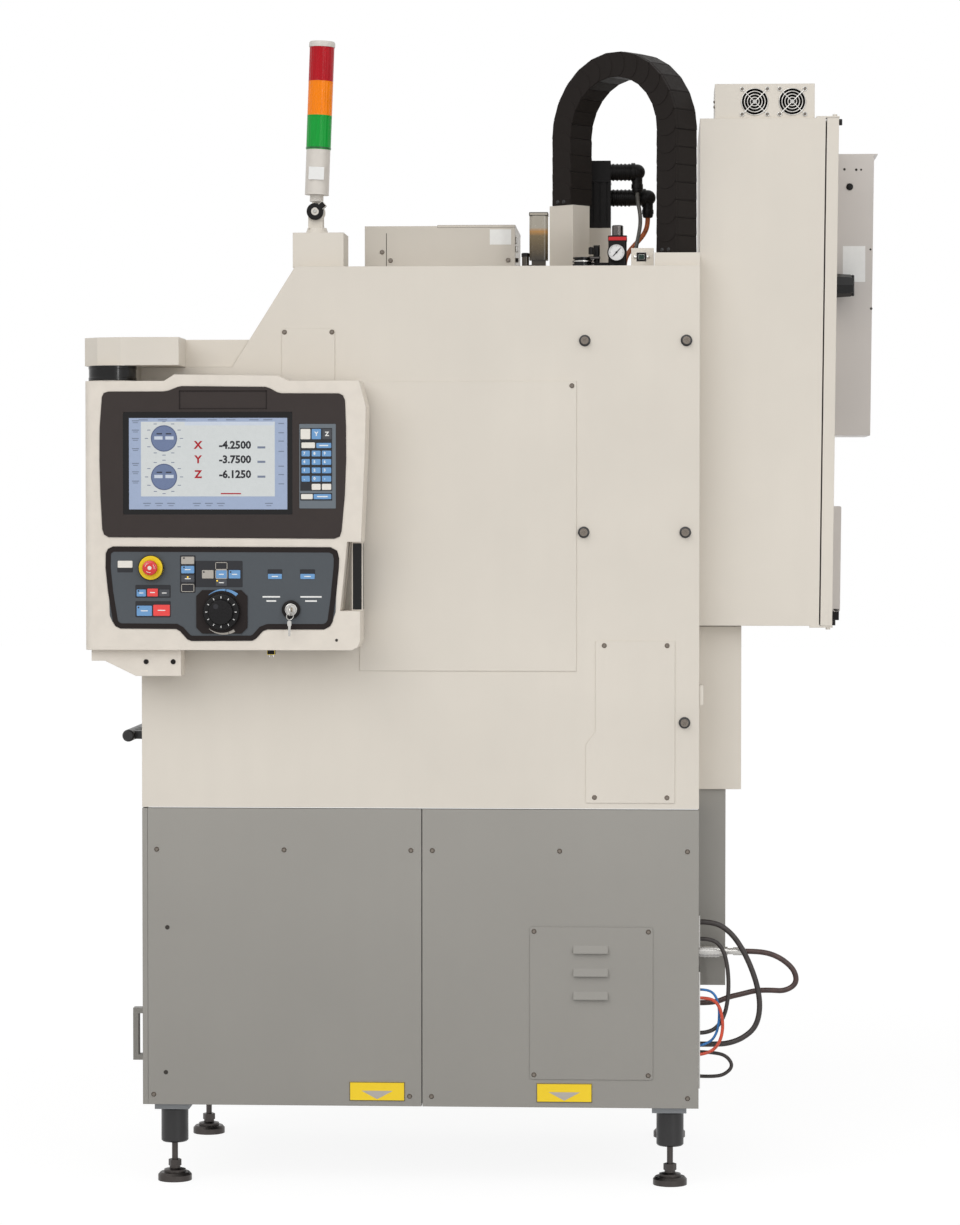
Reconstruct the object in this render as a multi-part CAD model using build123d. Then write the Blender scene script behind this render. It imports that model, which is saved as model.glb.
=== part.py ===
from build123d import *
import os
from math import atan2, cos, degrees, pi, radians, sin, tan

# A compact enclosed vertical machining centre, in millimetres.
# While it is modelled, +X points to the machine's rear, +Y to its left side, +Z up, and the floor is z = 0.
# The finished pieces are moved so that the origin is the middle of the whole footprint, on the floor.

# Enclosure and skirt
body_front, body_rear = -612.0, 610.0
half_width = 381.0
skirt_bottom, seam_z, ledge_z, hood_rise = 181.0, 837.0, 1802.0, 219.0
roof_z = ledge_z + hood_rise
ledge_depth, hood_run = 201.0, 138.0
sheet = 3.0
seam_gap = 2.0
panel_seam_x = 4.0

# Legs
leg_front_x, leg_rear_x, leg_y = -552.0, 548.0, 302.0
sleeve_r, sleeve_low, sleeve_high = 30.0, 87.0, 163.0
stud_r, pad_r, pad_height = 6.7, 37.5, 18.0
nut_flats, nut_height, nut_low = 25.0, 14.0, 32.0
foot_boss_height = 60.0

# Castings and slides
bed_half_width, bed_top, bed_wall, bed_deck = 360.0, 700.0, 35.0, 50.0
way_width, way_height, way_spacing = 60.0, 30.0, 260.0
rail_width, rail_height = 25.0, 28.0
running_gap = 1.0
table_travel, saddle_travel, head_travel = 150.0, 127.0, 305.0
spindle_x = 32.0
saddle_length, saddle_half_width = 260.0, 190.0
saddle_low, saddle_high = 742.0, 830.0
table_length, table_width, table_low, table_top = 430.0, 254.0, 834.0, 940.0
table_slab = 46.0
slot_width, slot_depth, slot_foot, slot_spacing = 14.0, 22.0, 24.0, 63.0
column_front, column_rear, column_half_width, column_top = 400.0, 590.0, 180.0, roof_z - 36
column_wall = 22.0
screw_r, nut_bore_r = 12.5, 12.55
head_low, head_high, head_half_width = 1380.0, 1700.0, 95.0
spindle_r, spindle_nose_low, spindle_housing_r = 35.0, 1330.0, 55.0
taper_r, taper_small_r, taper_depth = 20.0, 13.0, 52.0
fit_gap = 0.05

# Front door
door_half_width, door_low, door_high, door_thickness = 290.0, 855.0, 1410.0, 20.0
opening_half_width, opening_low, opening_high = 270.0, 870.0, 1390.0
window_half_width, window_low, window_high = 215.0, 1020.0, 1360.0
glass_thickness = 6.0
handle_r, handle_z, handle_standoff, handle_half_length = 13.5, 984.0, 53.0, 230.0
guide_gap = 1.5

# Coolant drawer
drawer_half_width, drawer_low, drawer_high, drawer_length = 240.0, 215.0, 400.0, 470.0
drawer_side_gap, drawer_rear_gap, drawer_lift = 12.0, 40.0, 0.4
runner_width, runner_height = 30.0, 15.0

# Covers on the right side
cover_x, cover_z = (-132.0, 342.0), (1138.0, 1770.0)
cover_thickness = 2.0
screw_head_r, screw_head_height = 5.5, 3.0
bolt_head_r, bolt_head_height, washer_r, washer_height = 8.5, 12.0, 12.0, 2.0

# Console
console_front, console_depth, console_wall = -500.0, 100.0, 3.0
console_left, console_width, console_height = -718.0, 598.0, 581.0
panel_thickness, panel_gap, panel_proud = 5.0, 0.3, 2.0
dial_plate_width, dial_plate_height = 111.0, 94.0
notch_high, notch_low, grip_width = 347.0, 496.0, 24.0
swivel_x, swivel_r, swivel_pin_r = -664.0, 51.0, 20.0
arm_low, arm_height = ledge_z + 0.3, 60.7
arm_high = arm_low + arm_height
swivel_height = 34.3
console_top = arm_low - swivel_height
console_low = console_top - console_height
dial_x, dial_z = console_left + 298.0, console_top - 498.0
dial_r, dial_cap_r, dial_height = 40.0, 25.0, 26.0
stop_x, stop_z = console_left + 145.0, console_top - 403.0
stop_collar_r, stop_r, stop_travel = 27.5, 16.5, 5.0
key_x, key_z, key_r = console_left + 448.0, console_top - 493.0, 19.0
shaft_r = 8.0

# Electrical cabinet
cabinet_low, cabinet_high, cabinet_half_width = 1235.0, 2347.0, 300.0
cabinet_low_x, cabinet_high_x, cabinet_door_gap, cabinet_door_thickness = 873.0, 885.0, 3.0, 26.0
cabinet_wall = 3.0
hinge_offset, hinge_plate, hinge_gap = 4.0, 4.0, 0.4
switch_z, switch_r = cabinet_high - 348.0, 29.0
fan_box_left, fan_box_right, fan_box_top, fan_box_depth = 643.0, 861.0, 2423.0, 190.0
fan_x, fan_z, fan_bore_r, fan_hub_r, fan_blades = (730.0, 812.0), 2384.0, 29.0, 12.0, 7
guard_wire = 1.8

# Roof
post_top, post_width, post_depth = roof_z + 150.0, 70.0, 56.0
chain_angle, chain_height, chain_width, chain_pitch = 40.0, 55.0, 73.0, 38.0
chain_outer_r, chain_apex_z = 180.0, roof_z + 479
chain_x, chain_y = 419.0, -245.0
link_wall, link_gap = 4.0, 0.4
link_boss_r, link_boss_height = 15.0, 1.2
tray_top = roof_z + 29
motor_x, motor_half, motor_low = 371.0, 40.0, roof_z + 107
motor_high = motor_low + 153
motor_cover_height, stack_box_height = 105.0, 77.0
stack_x, stack_y, knuckle_z, stack_lean = -236.0, -280.0, roof_z + 126, 2.15
stack_r, tier_height = 27.5, 75.0


def block(x0, x1, y0, y1, z0, z1):
    """A rectangular block between two corners."""
    size = abs(x1 - x0), abs(y1 - y0), abs(z1 - z0)
    return Pos((x0 + x1) / 2, (y0 + y1) / 2, (z0 + z1) / 2) * Box(*size)


def rod(x, y, z, r, length, axis="z"):
    """A cylinder that starts at a point and runs along one axis."""
    turn = {"x": Rot(0, 90, 0), "y": Rot(-90, 0, 0), "z": Rot(0, 0, 0)}[axis]
    return Pos(x, y, z) * turn * Pos(0, 0, length / 2) * Cylinder(r, length)


def prism(points, along, length):
    """A closed outline pushed along a direction."""
    return extrude(make_face(Polyline(*points, close=True)), amount=length, dir=along)


def side_plate(points, y0, y1):
    """An outline given in x and z, thick from y0 to y1."""
    return prism([(x, y0, z) for x, z in points], (0, 1, 0), y1 - y0)


def hex_prism(x, y, z, flats, height):
    """A hexagon nut standing on z."""
    return Pos(x, y, z) * extrude(RegularPolygon(flats / 2, 6, major_radius=False), amount=height)


def mirrored(shape):
    """The same shape on the machine's other side."""
    return mirror(shape, about=Plane.XZ)


# Castings

def bed():
    """The cast bed: two pockets open below, a mouth for the coolant drawer, runners for it, and two ways on top."""
    front, rear, low = body_front + 22, body_rear - 20, skirt_bottom + sheet
    shape = block(front, rear, -bed_half_width, bed_half_width, low, bed_top)
    inner_y, pocket_top = bed_half_width - bed_wall, bed_top - bed_deck
    cross = body_front + drawer_length + drawer_rear_gap
    shape -= block(front + bed_wall, cross, -inner_y, inner_y, low - 1, pocket_top)
    shape -= block(cross + bed_wall, rear - bed_wall, -inner_y, inner_y, low - 1, pocket_top)
    mouth = drawer_half_width + drawer_side_gap
    shape -= block(front - 1, front + bed_wall + 1, -mouth, mouth, low - 1, drawer_high + drawer_side_gap)
    way_front, way_rear = spindle_x - saddle_travel - saddle_length / 2 - 30, column_front - 5
    for side in (-1, 1):
        y = side * way_spacing / 2
        shape += block(way_front, way_rear, y - way_width / 2, y + way_width / 2, bed_top, bed_top + way_height)
        shape += block(front, cross, side * (mouth + runner_width), side * (mouth - runner_width),
                       drawer_low - runner_height, drawer_low - drawer_lift)
    for x in (way_front - 30, column_front - 40):
        bearing = block(x, x + 30, -45, 45, bed_top, screw_y_z() + 32)
        shape += bearing - rod(x - 1, 0, screw_y_z(), screw_r + fit_gap, 32, "x")
    for x in (leg_front_x, leg_rear_x):
        for y in (-leg_y, leg_y):
            shape += block(x - 40, x + 36, y - 36, y + 36, sleeve_high, low + foot_boss_height)
    return shape


def screw_y_z():
    """Height of the ball screw that moves the saddle."""
    return saddle_low + 38


def column():
    """The cast column, open at the back, with bearing blocks for the upright ball screw."""
    shape = block(column_front, column_rear, -column_half_width, column_half_width, bed_top, column_top)
    inside = column_half_width - column_wall
    low, high = bed_top + column_wall, column_top - column_wall
    shape -= block(column_front + column_wall, column_rear + 1, -inside, inside, low, high)
    for z in (head_low - head_travel - 110, column_top - 30):
        bearing = block(motor_x - 28, column_front, -45, 45, z, z + 30)
        shape += bearing - rod(motor_x, 0, z - 1, screw_r + fit_gap, 32)
    return shape


def rails():
    """Linear rails: two along the bed and two up the column."""
    way_top = bed_top + way_height
    first, last = spindle_x - saddle_travel - saddle_length / 2 - 20, column_front - 10
    out = []
    for y in (-way_spacing / 2, way_spacing / 2):
        out.append(block(first, last, y - rail_width / 2, y + rail_width / 2, way_top, way_top + rail_height))
    for y in (-110.0, 110.0):
        low, high = head_low - head_travel - 60, column_top - 60
        out.append(block(column_front - rail_height, column_front, y - rail_width / 2, y + rail_width / 2, low, high))
    return out


def saddle():
    """The saddle, which carries the table's rails, and the table's screw bearings and motor."""
    x0, x1 = spindle_x - saddle_length / 2, spindle_x + saddle_length / 2
    shape = block(x0, x1, -saddle_half_width, saddle_half_width, saddle_low, saddle_high)
    rail_top = bed_top + way_height + rail_height
    for y in (-way_spacing / 2, way_spacing / 2):
        reach = rail_width / 2 + running_gap
        shape -= block(x0 - 1, x1 + 1, y - reach, y + reach, saddle_low - 1, rail_top + running_gap)
    shape -= rod(x0 - 1, 0, screw_y_z(), nut_bore_r, saddle_length + 2, "x")
    for x in (spindle_x - 85, spindle_x + 85):
        shape += block(x - rail_width / 2, x + rail_width / 2, -saddle_half_width, saddle_half_width,
                       saddle_high, saddle_high + rail_height)
    for y in (-saddle_half_width, saddle_half_width - 14):
        bearing = block(spindle_x - 28, spindle_x + 28, y, y + 14, saddle_high, table_screw_z() + 28)
        shape += bearing - rod(spindle_x, y - 1, table_screw_z(), screw_r + fit_gap, 16, "y")
    motor = block(spindle_x - 28, spindle_x + 28, saddle_half_width, saddle_half_width + 110,
                  table_screw_z() - 28, table_screw_z() + 28)
    return [shape, motor]


def table_screw_z():
    """Height of the ball screw that moves the table."""
    return table_low + 30


def table():
    """The table: T slots above, rail channels and a screw nut below."""
    x0, x1 = spindle_x - table_width / 2, spindle_x + table_width / 2
    half = table_length / 2
    slab_low = table_top - table_slab
    shape = block(x0, x1, -half, half, slab_low, table_top)
    rail_top = saddle_high + rail_height
    for x in (spindle_x - 85, spindle_x + 85):
        shape += block(x - 31, x + 31, -half, half, table_low, slab_low)
        reach = rail_width / 2 + running_gap
        shape -= block(x - reach, x + reach, -half - 1, half + 1, table_low - 1, rail_top + running_gap)
    nut = block(spindle_x - 26, spindle_x + 26, -13, 13, table_low, slab_low)
    shape += nut - rod(spindle_x, -14, table_screw_z(), nut_bore_r, 28, "y")
    for step in (-1, 0, 1):
        x = spindle_x + step * slot_spacing
        narrow, wide = slot_width / 2, slot_foot / 2
        neck = table_top - slot_depth / 2
        shape -= block(x - narrow, x + narrow, -half - 1, half + 1, neck, table_top + 1)
        shape -= block(x - wide, x + wide, -half - 1, half + 1, table_top - slot_depth, neck)
    return shape


def spindle_head():
    """The head casting on the column's rails, and the spindle motor on top of it."""
    back = column_front - 16
    profile = [(back, head_low - 20), (back, head_high + 60), (back - 80, head_high + 60),
               (spindle_x + 110, head_high), (spindle_x - 95, head_high), (spindle_x - 110, head_high - 40),
               (spindle_x - 110, head_low + 60), (spindle_x - 70, head_low), (spindle_x + 90, head_low),
               (back - 60, head_low + 40), (back - 60, head_low - 20)]
    shape = side_plate(profile, -head_half_width, head_half_width)
    plate = block(back - 60, back, -140, 140, head_low - 20, head_high + 60)
    shape += plate
    shape += rod(spindle_x, 0, head_low - 35, spindle_housing_r, 60)
    shape += block(back - 60, column_front - 4, -35, 35, head_low + 40, head_low + 140)
    for y in (-110.0, 110.0):
        reach = rail_width / 2 + running_gap
        shape -= block(column_front - rail_height - running_gap, column_front, y - reach, y + reach,
                       head_low - 30, head_high + 70)
    shape -= rod(motor_x, 0, head_low - 30, nut_bore_r, head_high - head_low + 120)
    shape -= rod(spindle_x, 0, head_low - 40, spindle_r + fit_gap, 300)
    shape -= block(back - 100, back - 60, -60, 60, head_low + 120, head_high - 40)
    motor = rod(spindle_x, 0, head_high, 62.0, 370) + block(spindle_x - 80, spindle_x + 80, -80, 80, head_high, head_high + 24)
    motor += block(spindle_x + 40, spindle_x + 100, -30, 30, head_high + 150, head_high + 230)
    return [shape, motor]


def spindle():
    """The spindle, with its tool taper open at the bottom and two drive keys."""
    length = head_low + 230 - spindle_nose_low
    shape = rod(spindle_x, 0, spindle_nose_low, spindle_r, length)
    shape += rod(spindle_x, 0, spindle_nose_low, spindle_r + 6, 12)
    bore = Pos(spindle_x, 0, spindle_nose_low + taper_depth / 2) * Rot(180, 0, 0)
    shape -= bore * Cone(taper_small_r, taper_r, taper_depth)
    for side in (-1, 1):
        shape += block(spindle_x + side * 31 - 5, spindle_x + side * 31 + 5, -7, 7, spindle_nose_low - 5, spindle_nose_low)
    return shape


def ball_screw_saddle():
    first = spindle_x - saddle_travel - saddle_length / 2 - 60
    return rod(first, 0, screw_y_z(), screw_r, column_front - 12 - first, "x")


def ball_screw_table():
    return rod(spindle_x, -saddle_half_width - 4, table_screw_z(), screw_r, 2 * saddle_half_width + 3.7, "y")


def ball_screw_head():
    first = head_low - head_travel - 114
    return rod(motor_x, 0, first, screw_r, motor_low - 0.3 - first)


def servo_motors():
    """The upright motor on the roof, with ribs and its two right-angle plugs, and the saddle's motor inside."""
    half, y1 = motor_half, motor_half
    upright = block(motor_x - half, motor_x + half, -half, y1, motor_low, motor_high)
    rib_count = 5
    for n in range(rib_count):
        y = -half + (n + 0.5) * 2 * half / rib_count
        groove = 4.0
        upright -= block(motor_x + half - groove, motor_x + half + 1, y - groove / 2, y + groove / 2, motor_low + 12, motor_high - 46)
        upright -= block(motor_x - half - 1, motor_x - half + groove, y - groove / 2, y + groove / 2, motor_low + 12, motor_high - 46)
        x = motor_x + y
        upright -= block(x - groove / 2, x + groove / 2, -half - 1, -half + groove, motor_low + 12, motor_high - 46)
    for z, reach, y in ((motor_low + 128, 60.0, -22.0), (motor_low + 73, 84.0, 16.0)):
        plug = rod(motor_x + half, y, z, 18.0, reach, "x")
        plug += Pos(motor_x + half + reach, y, z) * Sphere(18.0)
        plug += rod(motor_x + half + reach, y, z - 42, 12.0, 42)
        upright += plug
    x0 = spindle_x - saddle_travel - saddle_length / 2 - 200
    inner = block(x0, spindle_x - saddle_travel - saddle_length / 2 - 60.5, -35, 35, screw_y_z() - 35, screw_y_z() + 35)
    inner += block(x0 + 20, x0 + 60, -35, 35, bed_top, screw_y_z())
    return [upright, inner]


# Enclosure

def hood_outline(inset):
    """The enclosure's side outline, moved inwards by a sheet."""
    ledge_end, hood_end = body_front + ledge_depth, body_front + ledge_depth + hood_run
    slope = tan(atan2(roof_z - ledge_z, hood_run) / 2)
    return [(body_front + inset, seam_z), (body_front + inset, ledge_z - inset),
            (ledge_end + inset * slope, ledge_z - inset), (hood_end + inset * slope, roof_z - inset),
            (body_rear - inset, roof_z - inset), (body_rear - inset, seam_z)]


def hood_x(z):
    """Where the slanted hood's outside is, at a height."""
    return body_front + ledge_depth + (z - ledge_z) * hood_run / (roof_z - ledge_z)


def enclosure():
    """The beige sheet-metal enclosure: walls, ledge, slanted hood and roof, open at the bottom."""
    shape = side_plate(hood_outline(0), -half_width, half_width)
    shape -= side_plate([(x, z - 1 if z == seam_z else z) for x, z in hood_outline(sheet)],
                        -half_width + sheet, half_width - sheet)
    shape -= block(body_front - 1, body_front + sheet + 1, -opening_half_width, opening_half_width, opening_low, opening_high)
    shape -= block(cover_x[0] + 20, cover_x[1] - 20, -half_width - 1, -half_width + sheet + 1, cover_z[0] + 20, cover_z[1] - 20)
    shape -= block(spindle_x - 110, spindle_x + 110, -110, 110, roof_z - sheet - 1, roof_z + 1)
    shape -= block(motor_x - 30, motor_x + 24, -30, 30, roof_z - sheet - 1, roof_z + 1)
    shape -= block(body_rear - sheet - 1, body_rear + 1, -150, 150, 900, 1200)
    shape -= block(body_rear - sheet - 1, body_rear + 1, -120, 120, 1300, 1900)
    inner = body_front + sheet
    reach = door_thickness + 2 * guide_gap
    for side in (-1, 1):
        slot = sorted((side * (door_half_width - 12), side * (door_half_width + guide_gap)))
        strip = sorted((side * (door_half_width - 12), side * (door_half_width + 10)))
        guide = block(inner, inner + reach + 3, *strip, seam_z + 3, ledge_z - sheet)
        guide -= block(inner, inner + reach, *slot, door_low - 0.3, ledge_z - sheet)
        shape += guide
    return shape


def side_covers():
    """Screwed covers on the right side: the big one, the hood's small one and the service cover with its jog."""
    y0, y1 = -half_width - cover_thickness, -half_width
    big = block(*cover_x, y0, y1, *cover_z)
    small = fillet(block(-302, -186, y0, y1, 1640, 1886).edges().filter_by(Axis.Y), 6)
    service = side_plate([(384, 1204), (384, 1006), (363, 977), (363, 850), (557, 850), (557, 1204)], y0, y1)
    return [big, small, service]


def louvred_cover():
    """The skirt's cover with three pressed louvres."""
    x0, x1, z0, z1 = 241, 510, 243, 578
    y0 = -half_width - cover_thickness
    shape = fillet(block(x0, x1, y0, -half_width, z0, z1).edges().filter_by(Axis.Y), 5)
    for z in (419.0, 470.0, 520.0):
        hood = prism([(336, y0, z), (336, y0, z + 17), (336, y0 - 9, z + 3), (336, y0 - 9, z)], (1, 0, 0), 76)
        shape += hood
        shape -= block(342, 406, y0 - 6, y0 + 1, z - 1, z + 3)
    return shape


def skirt_panels():
    """The grey skirt: two panels a side, one panel at the rear."""
    top = seam_z - seam_gap
    out = []
    for x0, x1 in ((body_front + 12, panel_seam_x - 1), (panel_seam_x + 1, body_rear)):
        side = block(x0, x1, -half_width, -half_width + sheet, skirt_bottom, top)
        side += block(x0, x1, -half_width, -bed_half_width - 0.2, skirt_bottom, skirt_bottom + sheet)
        side += block(x0, x1, -half_width, -bed_half_width - 8, top - sheet, top)
        out += [side, mirrored(side)]
    rear = block(body_rear - sheet, body_rear, -half_width + sheet + 0.3, half_width - sheet - 0.3, skirt_bottom, top)
    return out + [rear]


def front_panel():
    """The skirt's front panel, folded back at both sides, with the drawer's opening."""
    top = seam_z - seam_gap
    shape = block(body_front, body_front + 11.5, -half_width, half_width, skirt_bottom, top)
    shape -= block(body_front + sheet, body_front + 12, -half_width + sheet, half_width - sheet, skirt_bottom - 1, top - sheet)
    flange = bed_half_width - 3
    shape += block(body_front + sheet, body_front + 21.8, -flange, flange, top - sheet, top)
    opening = drawer_half_width + 8
    shape -= block(body_front - 1, body_front + 12, -opening, opening, drawer_low - 8, drawer_high + 8)
    return shape


def drawer():
    """The coolant drawer: an open tank with a front plate and a pull handle."""
    wall = 3.0
    y = drawer_half_width
    tank = block(body_front + sheet, body_front + drawer_length, -y + 2, y - 2, drawer_low, drawer_high - 20)
    tank -= block(body_front + sheet + wall, body_front + drawer_length - wall, -y + 2 + wall, y - 2 - wall,
                  drawer_low + wall, drawer_high)
    shape = tank + block(body_front, body_front + sheet, -y - 5, y + 5, drawer_low - 5, drawer_high + 5)
    x = body_front
    for z in (253.0, 358.0):
        shape += block(x - 40, x, -214, -186, z, z + 12)
    shape += block(x - 46, x - 34, -214, -186, 253.0, 370.0)
    return shape


def lift_plates():
    """Plates over the lift pockets, two on each side."""
    y0 = -half_width - cover_thickness
    out = []
    for x in (-155.0, 256.0):
        plate = block(x, x + 121, y0, -half_width, 193, 234)
        out += [plate, mirrored(plate)]
    return out


def dome_screw(x, y, z):
    """A low domed screw head on the right side."""
    head = Pos(x, y, z) * Rot(90, 0, 0) * Cone(screw_head_r, screw_head_r * 0.6, screw_head_height,
                                               align=(Align.CENTER, Align.CENTER, Align.MIN))
    return head


def panel_screws():
    """Dome-head screws of the skirt, the covers and the louvred cover, and the enclosure's big bolts."""
    out = []
    skirt = [(-580, 744), (-299, 744), (-20, 744), (27, 744), (306, 744), (585, 744),
             (-588, 203), (-23, 203), (25, 203), (586, 203)]
    for x, z in skirt:
        screw = dome_screw(x, -half_width, z)
        out += [screw, mirrored(screw)]
    face = -half_width - cover_thickness
    covers = [(250, 568), (500, 568), (250, 253), (500, 253), (332, 1760), (-296, 1878), (-192, 1878),
              (403, 1194), (540, 1194), (382, 862), (540, 862)]
    out += [dome_screw(x, face, z) for x, z in covers]
    for x, z in ((360, 1858), (581, 1858), (358, 1441), (579, 1441), (578, 1026)):
        washer = rod(x, -half_width - washer_height, z, washer_r, washer_height, "y")
        head = rod(x, -half_width - washer_height - bolt_head_height, z, bolt_head_r, bolt_head_height, "y")
        socket = Pos(x, -half_width - washer_height - bolt_head_height + 4, z) * Rot(90, 0, 0)
        bolt = washer + head - socket * extrude(RegularPolygon(4, 6), amount=5)
        out += [bolt, mirrored(bolt)]
    return out


def leg_sleeves():
    """Black sleeves under the bed's feet."""
    out = []
    for x in (leg_front_x, leg_rear_x):
        for y in (-leg_y, leg_y):
            sleeve = rod(x, y, sleeve_low, sleeve_r, sleeve_high - sleeve_low)
            sleeve = chamfer(sleeve.edges().filter_by(GeomType.CIRCLE), 3)
            out.append(sleeve - rod(x, y, sleeve_low - 1, stud_r + fit_gap, 51))
    return out


def levelling_feet():
    """Levelling feet: pad, flange, neck and stud turned as one, with the lock nut."""
    out = []
    for x in (leg_front_x, leg_rear_x):
        for y in (-leg_y, leg_y):
            profile = Polyline((0, 0), (pad_r, 0), (pad_r, pad_height * 0.7), (pad_r - 5, pad_height),
                               (24, pad_height), (24, pad_height + 6), (12, pad_height + 9), (12, nut_low),
                               (stud_r, nut_low), (stud_r, sleeve_low + 45), (0, sleeve_low + 45), close=True)
            foot = revolve(Plane.XZ * make_face(profile), Axis.Z)
            out.append(Pos(x, y, 0) * foot + hex_prism(x, y, nut_low, nut_flats, nut_height))
    return out


# Door

def door_panel():
    """The lifting door: a folded panel with a stepped window opening."""
    x = body_front + sheet + guide_gap
    shape = block(x, x + door_thickness, -door_half_width, door_half_width, door_low, door_high)
    shape -= block(x - 1, x + door_thickness + 1, -window_half_width, window_half_width, window_low, window_high)
    lip = 12.0
    shape -= block(x + 6, x + door_thickness + 1, -window_half_width - lip, window_half_width + lip,
                   window_low - lip, window_high + lip)
    shape -= block(x + 4, x + door_thickness + 1, -door_half_width + 20, door_half_width - 20, door_low + 12, window_low - 24)
    return shape


def door_window():
    x = body_front + sheet + guide_gap + 6
    return block(x, x + glass_thickness, -window_half_width - 11, window_half_width + 11, window_low - 11, window_high + 11)


def door_handle():
    """The bar handle on two stand-offs."""
    face = body_front + sheet + guide_gap
    x = body_front - handle_standoff
    bar = rod(x, -handle_half_length, handle_z, handle_r, 2 * handle_half_length, "y")
    bar = chamfer(bar.edges().filter_by(GeomType.CIRCLE), 3)
    for y in (-handle_half_length + 40, handle_half_length - 40):
        bar += block(x, face, y - 9, y + 9, handle_z - 9, handle_z + 9)
    return bar


# Console

def on_console(points):
    """Console points, given from its top left corner, to the right and down."""
    return [(console_left + x, console_top - z) for x, z in points]


def outlined(points, grow, y0, y1):
    """A closed console outline, grown all round, thick from y0 to y1."""
    face = make_face(Polyline(*[(x, z) for x, z in on_console(points)], close=True))
    if grow:
        face = offset(face, grow, kind=Kind.INTERSECTION)
    return Pos(0, y1, 0) * Rot(90, 0, 0) * extrude(face, amount=y1 - y0)


def console_outline():
    """The housing: raised brow, bulging right side with a notch for the grip bar, rounded bottom corner."""
    w, h = console_width, console_height
    return [(0, h), (0, 0), (173, 0), (195, -14), (419, -11), (442, 0), (w - 3, 0), (w + 12, 56), (w + 9, 168),
            (w + 1, notch_high), (w - 29, notch_high), (w - 44, notch_low), (w - 1, notch_low), (w - 1, h - 20),
            (w - 7, h - 6), (w - 20, h)]


screen_outline = [
    (33, 170), (33.7, 100), (38.7, 34.7), (42.6, 26.2), (52.2, 23.1), (171.6, 23.1), (183.2, 21.2), (202.4, 13.5), (212.1, 11.6),
    (393.1, 13.5), (402.8, 16.6), (418.2, 25.1), (427.8, 27.4), (551, 27.7), (559.9, 31.6), (564.5, 42.4), (566.5, 100),
    (566.8, 170), (563.8, 246), (556.8, 323), (553, 335), (541.4, 339.8), (52.2, 336.7), (42.6, 331.3), (38.7, 320), (34.9, 246)]

control_outline = [
    (45.5, 403), (46.2, 371.4), (50.8, 362.6), (61.3, 357.4), (533.2, 358.8), (547.2, 366.1), (551.4, 382), (550.7, 403),
    (543.7, 473), (537.4, 518.7), (531.4, 529.2), (519.1, 535.6), (396.3, 535.6), (385.8, 539.8), (371.8, 555.6), (363, 560.1),
    (231.5, 560.8), (222.7, 557.3), (206.9, 539.8), (198.1, 534.9), (77.1, 534.2), (66.6, 529.2), (61.3, 520.5), (50.8, 455.6)]


def console_shell():
    """The moulded console housing, hollow, with pockets for its two panels and bores for what turns in it."""
    y0, y1 = console_front, console_front + console_depth
    shape = outlined(console_outline(), 0, y0, y1)
    long_edges = shape.edges().filter_by(GeomType.LINE).filter_by(Axis.Z).group_by(Axis.X)[0]
    shape = fillet(long_edges, 16)
    inside = [(20, 20), (console_width - 45, 20), (console_width - 45, console_height - 20), (20, console_height - 20)]
    shape -= outlined(inside, 0, y0 + panel_thickness + 4, y1 - console_wall)
    shape -= outlined(screen_outline, panel_gap, y0 - 1, y0 + panel_thickness)
    shape -= outlined(control_outline, panel_gap, y0 - 1, y0 + panel_thickness)
    grip = console_left + console_width - 23
    shape += block(grip, grip + grip_width, y0 + 45, y0 + 75, console_top - notch_low - 1, console_top - notch_high + 1)
    shape += rod(swivel_x, swivel_y(), console_top - 90, swivel_pin_r + 12, 89)
    shape -= rod(swivel_x, swivel_y(), console_top - 80, swivel_pin_r + fit_gap, 100)
    for x, z in ((dial_x, dial_z), (stop_x, stop_z), (key_x, key_z)):
        shape -= rod(x, y0 - 1, z, shaft_r + fit_gap, 40, "y")
    top = console_height + 0.2
    bracket = outlined([(11, top), (11, top + 24), (40, top + 24), (108, top + 57), (206, top + 57), (206, top)], 0, y0 + 20, y1 - 20)
    return [shape, bracket]


def swivel_y():
    """The console's swivel axis runs up through the middle of its depth."""
    return console_front + console_depth / 2


def screen_panel():
    """The screen bezel with the recesses for the glass, the keypad and the bare plate on its brow."""
    y0 = console_front - panel_proud
    shape = outlined(screen_outline, 0, y0, console_front + panel_thickness)
    shape -= outlined([(84, 67), (451, 67), (451, 288), (84, 288)], 0, y0 - 1, y0 + 2)
    shape -= outlined([(466, 93), (545, 93), (545, 275), (466, 275)], 0, y0 - 1, y0 + 1)
    shape -= outlined([(206, 21), (396, 21), (396, 60), (206, 60)], 0, y0 - 1, y0 + 1)
    return shape


def control_panel():
    """The lower panel with its raised border, the dial's plate and the collars."""
    y0 = console_front - panel_proud
    shape = outlined(control_outline, 0, y0, console_front + panel_thickness)
    shape -= outlined(control_outline, -11, y0 - 1, y0 + 1)
    w, h, cut = dial_plate_width / 2, dial_plate_height / 2, 13
    plate = side_plate([(dial_x + x, dial_z + z) for x, z in (
        (w, h - cut), (w - cut, h), (cut - w, h), (-w, h - cut), (-w, cut - h), (cut - w, -h), (w - cut, -h), (w, cut - h))],
        y0 - 2, y0 + 1)
    shape += plate
    shape += rod(stop_x, y0 - 11, stop_z, stop_collar_r, 12, "y")
    shape += rod(key_x, y0 - 5, key_z, key_r, 6, "y")
    for x, z in ((dial_x, dial_z), (stop_x, stop_z), (key_x, key_z)):
        shape -= rod(x, y0 - 30, z, shaft_r + fit_gap, 60, "y")
    return shape


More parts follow.
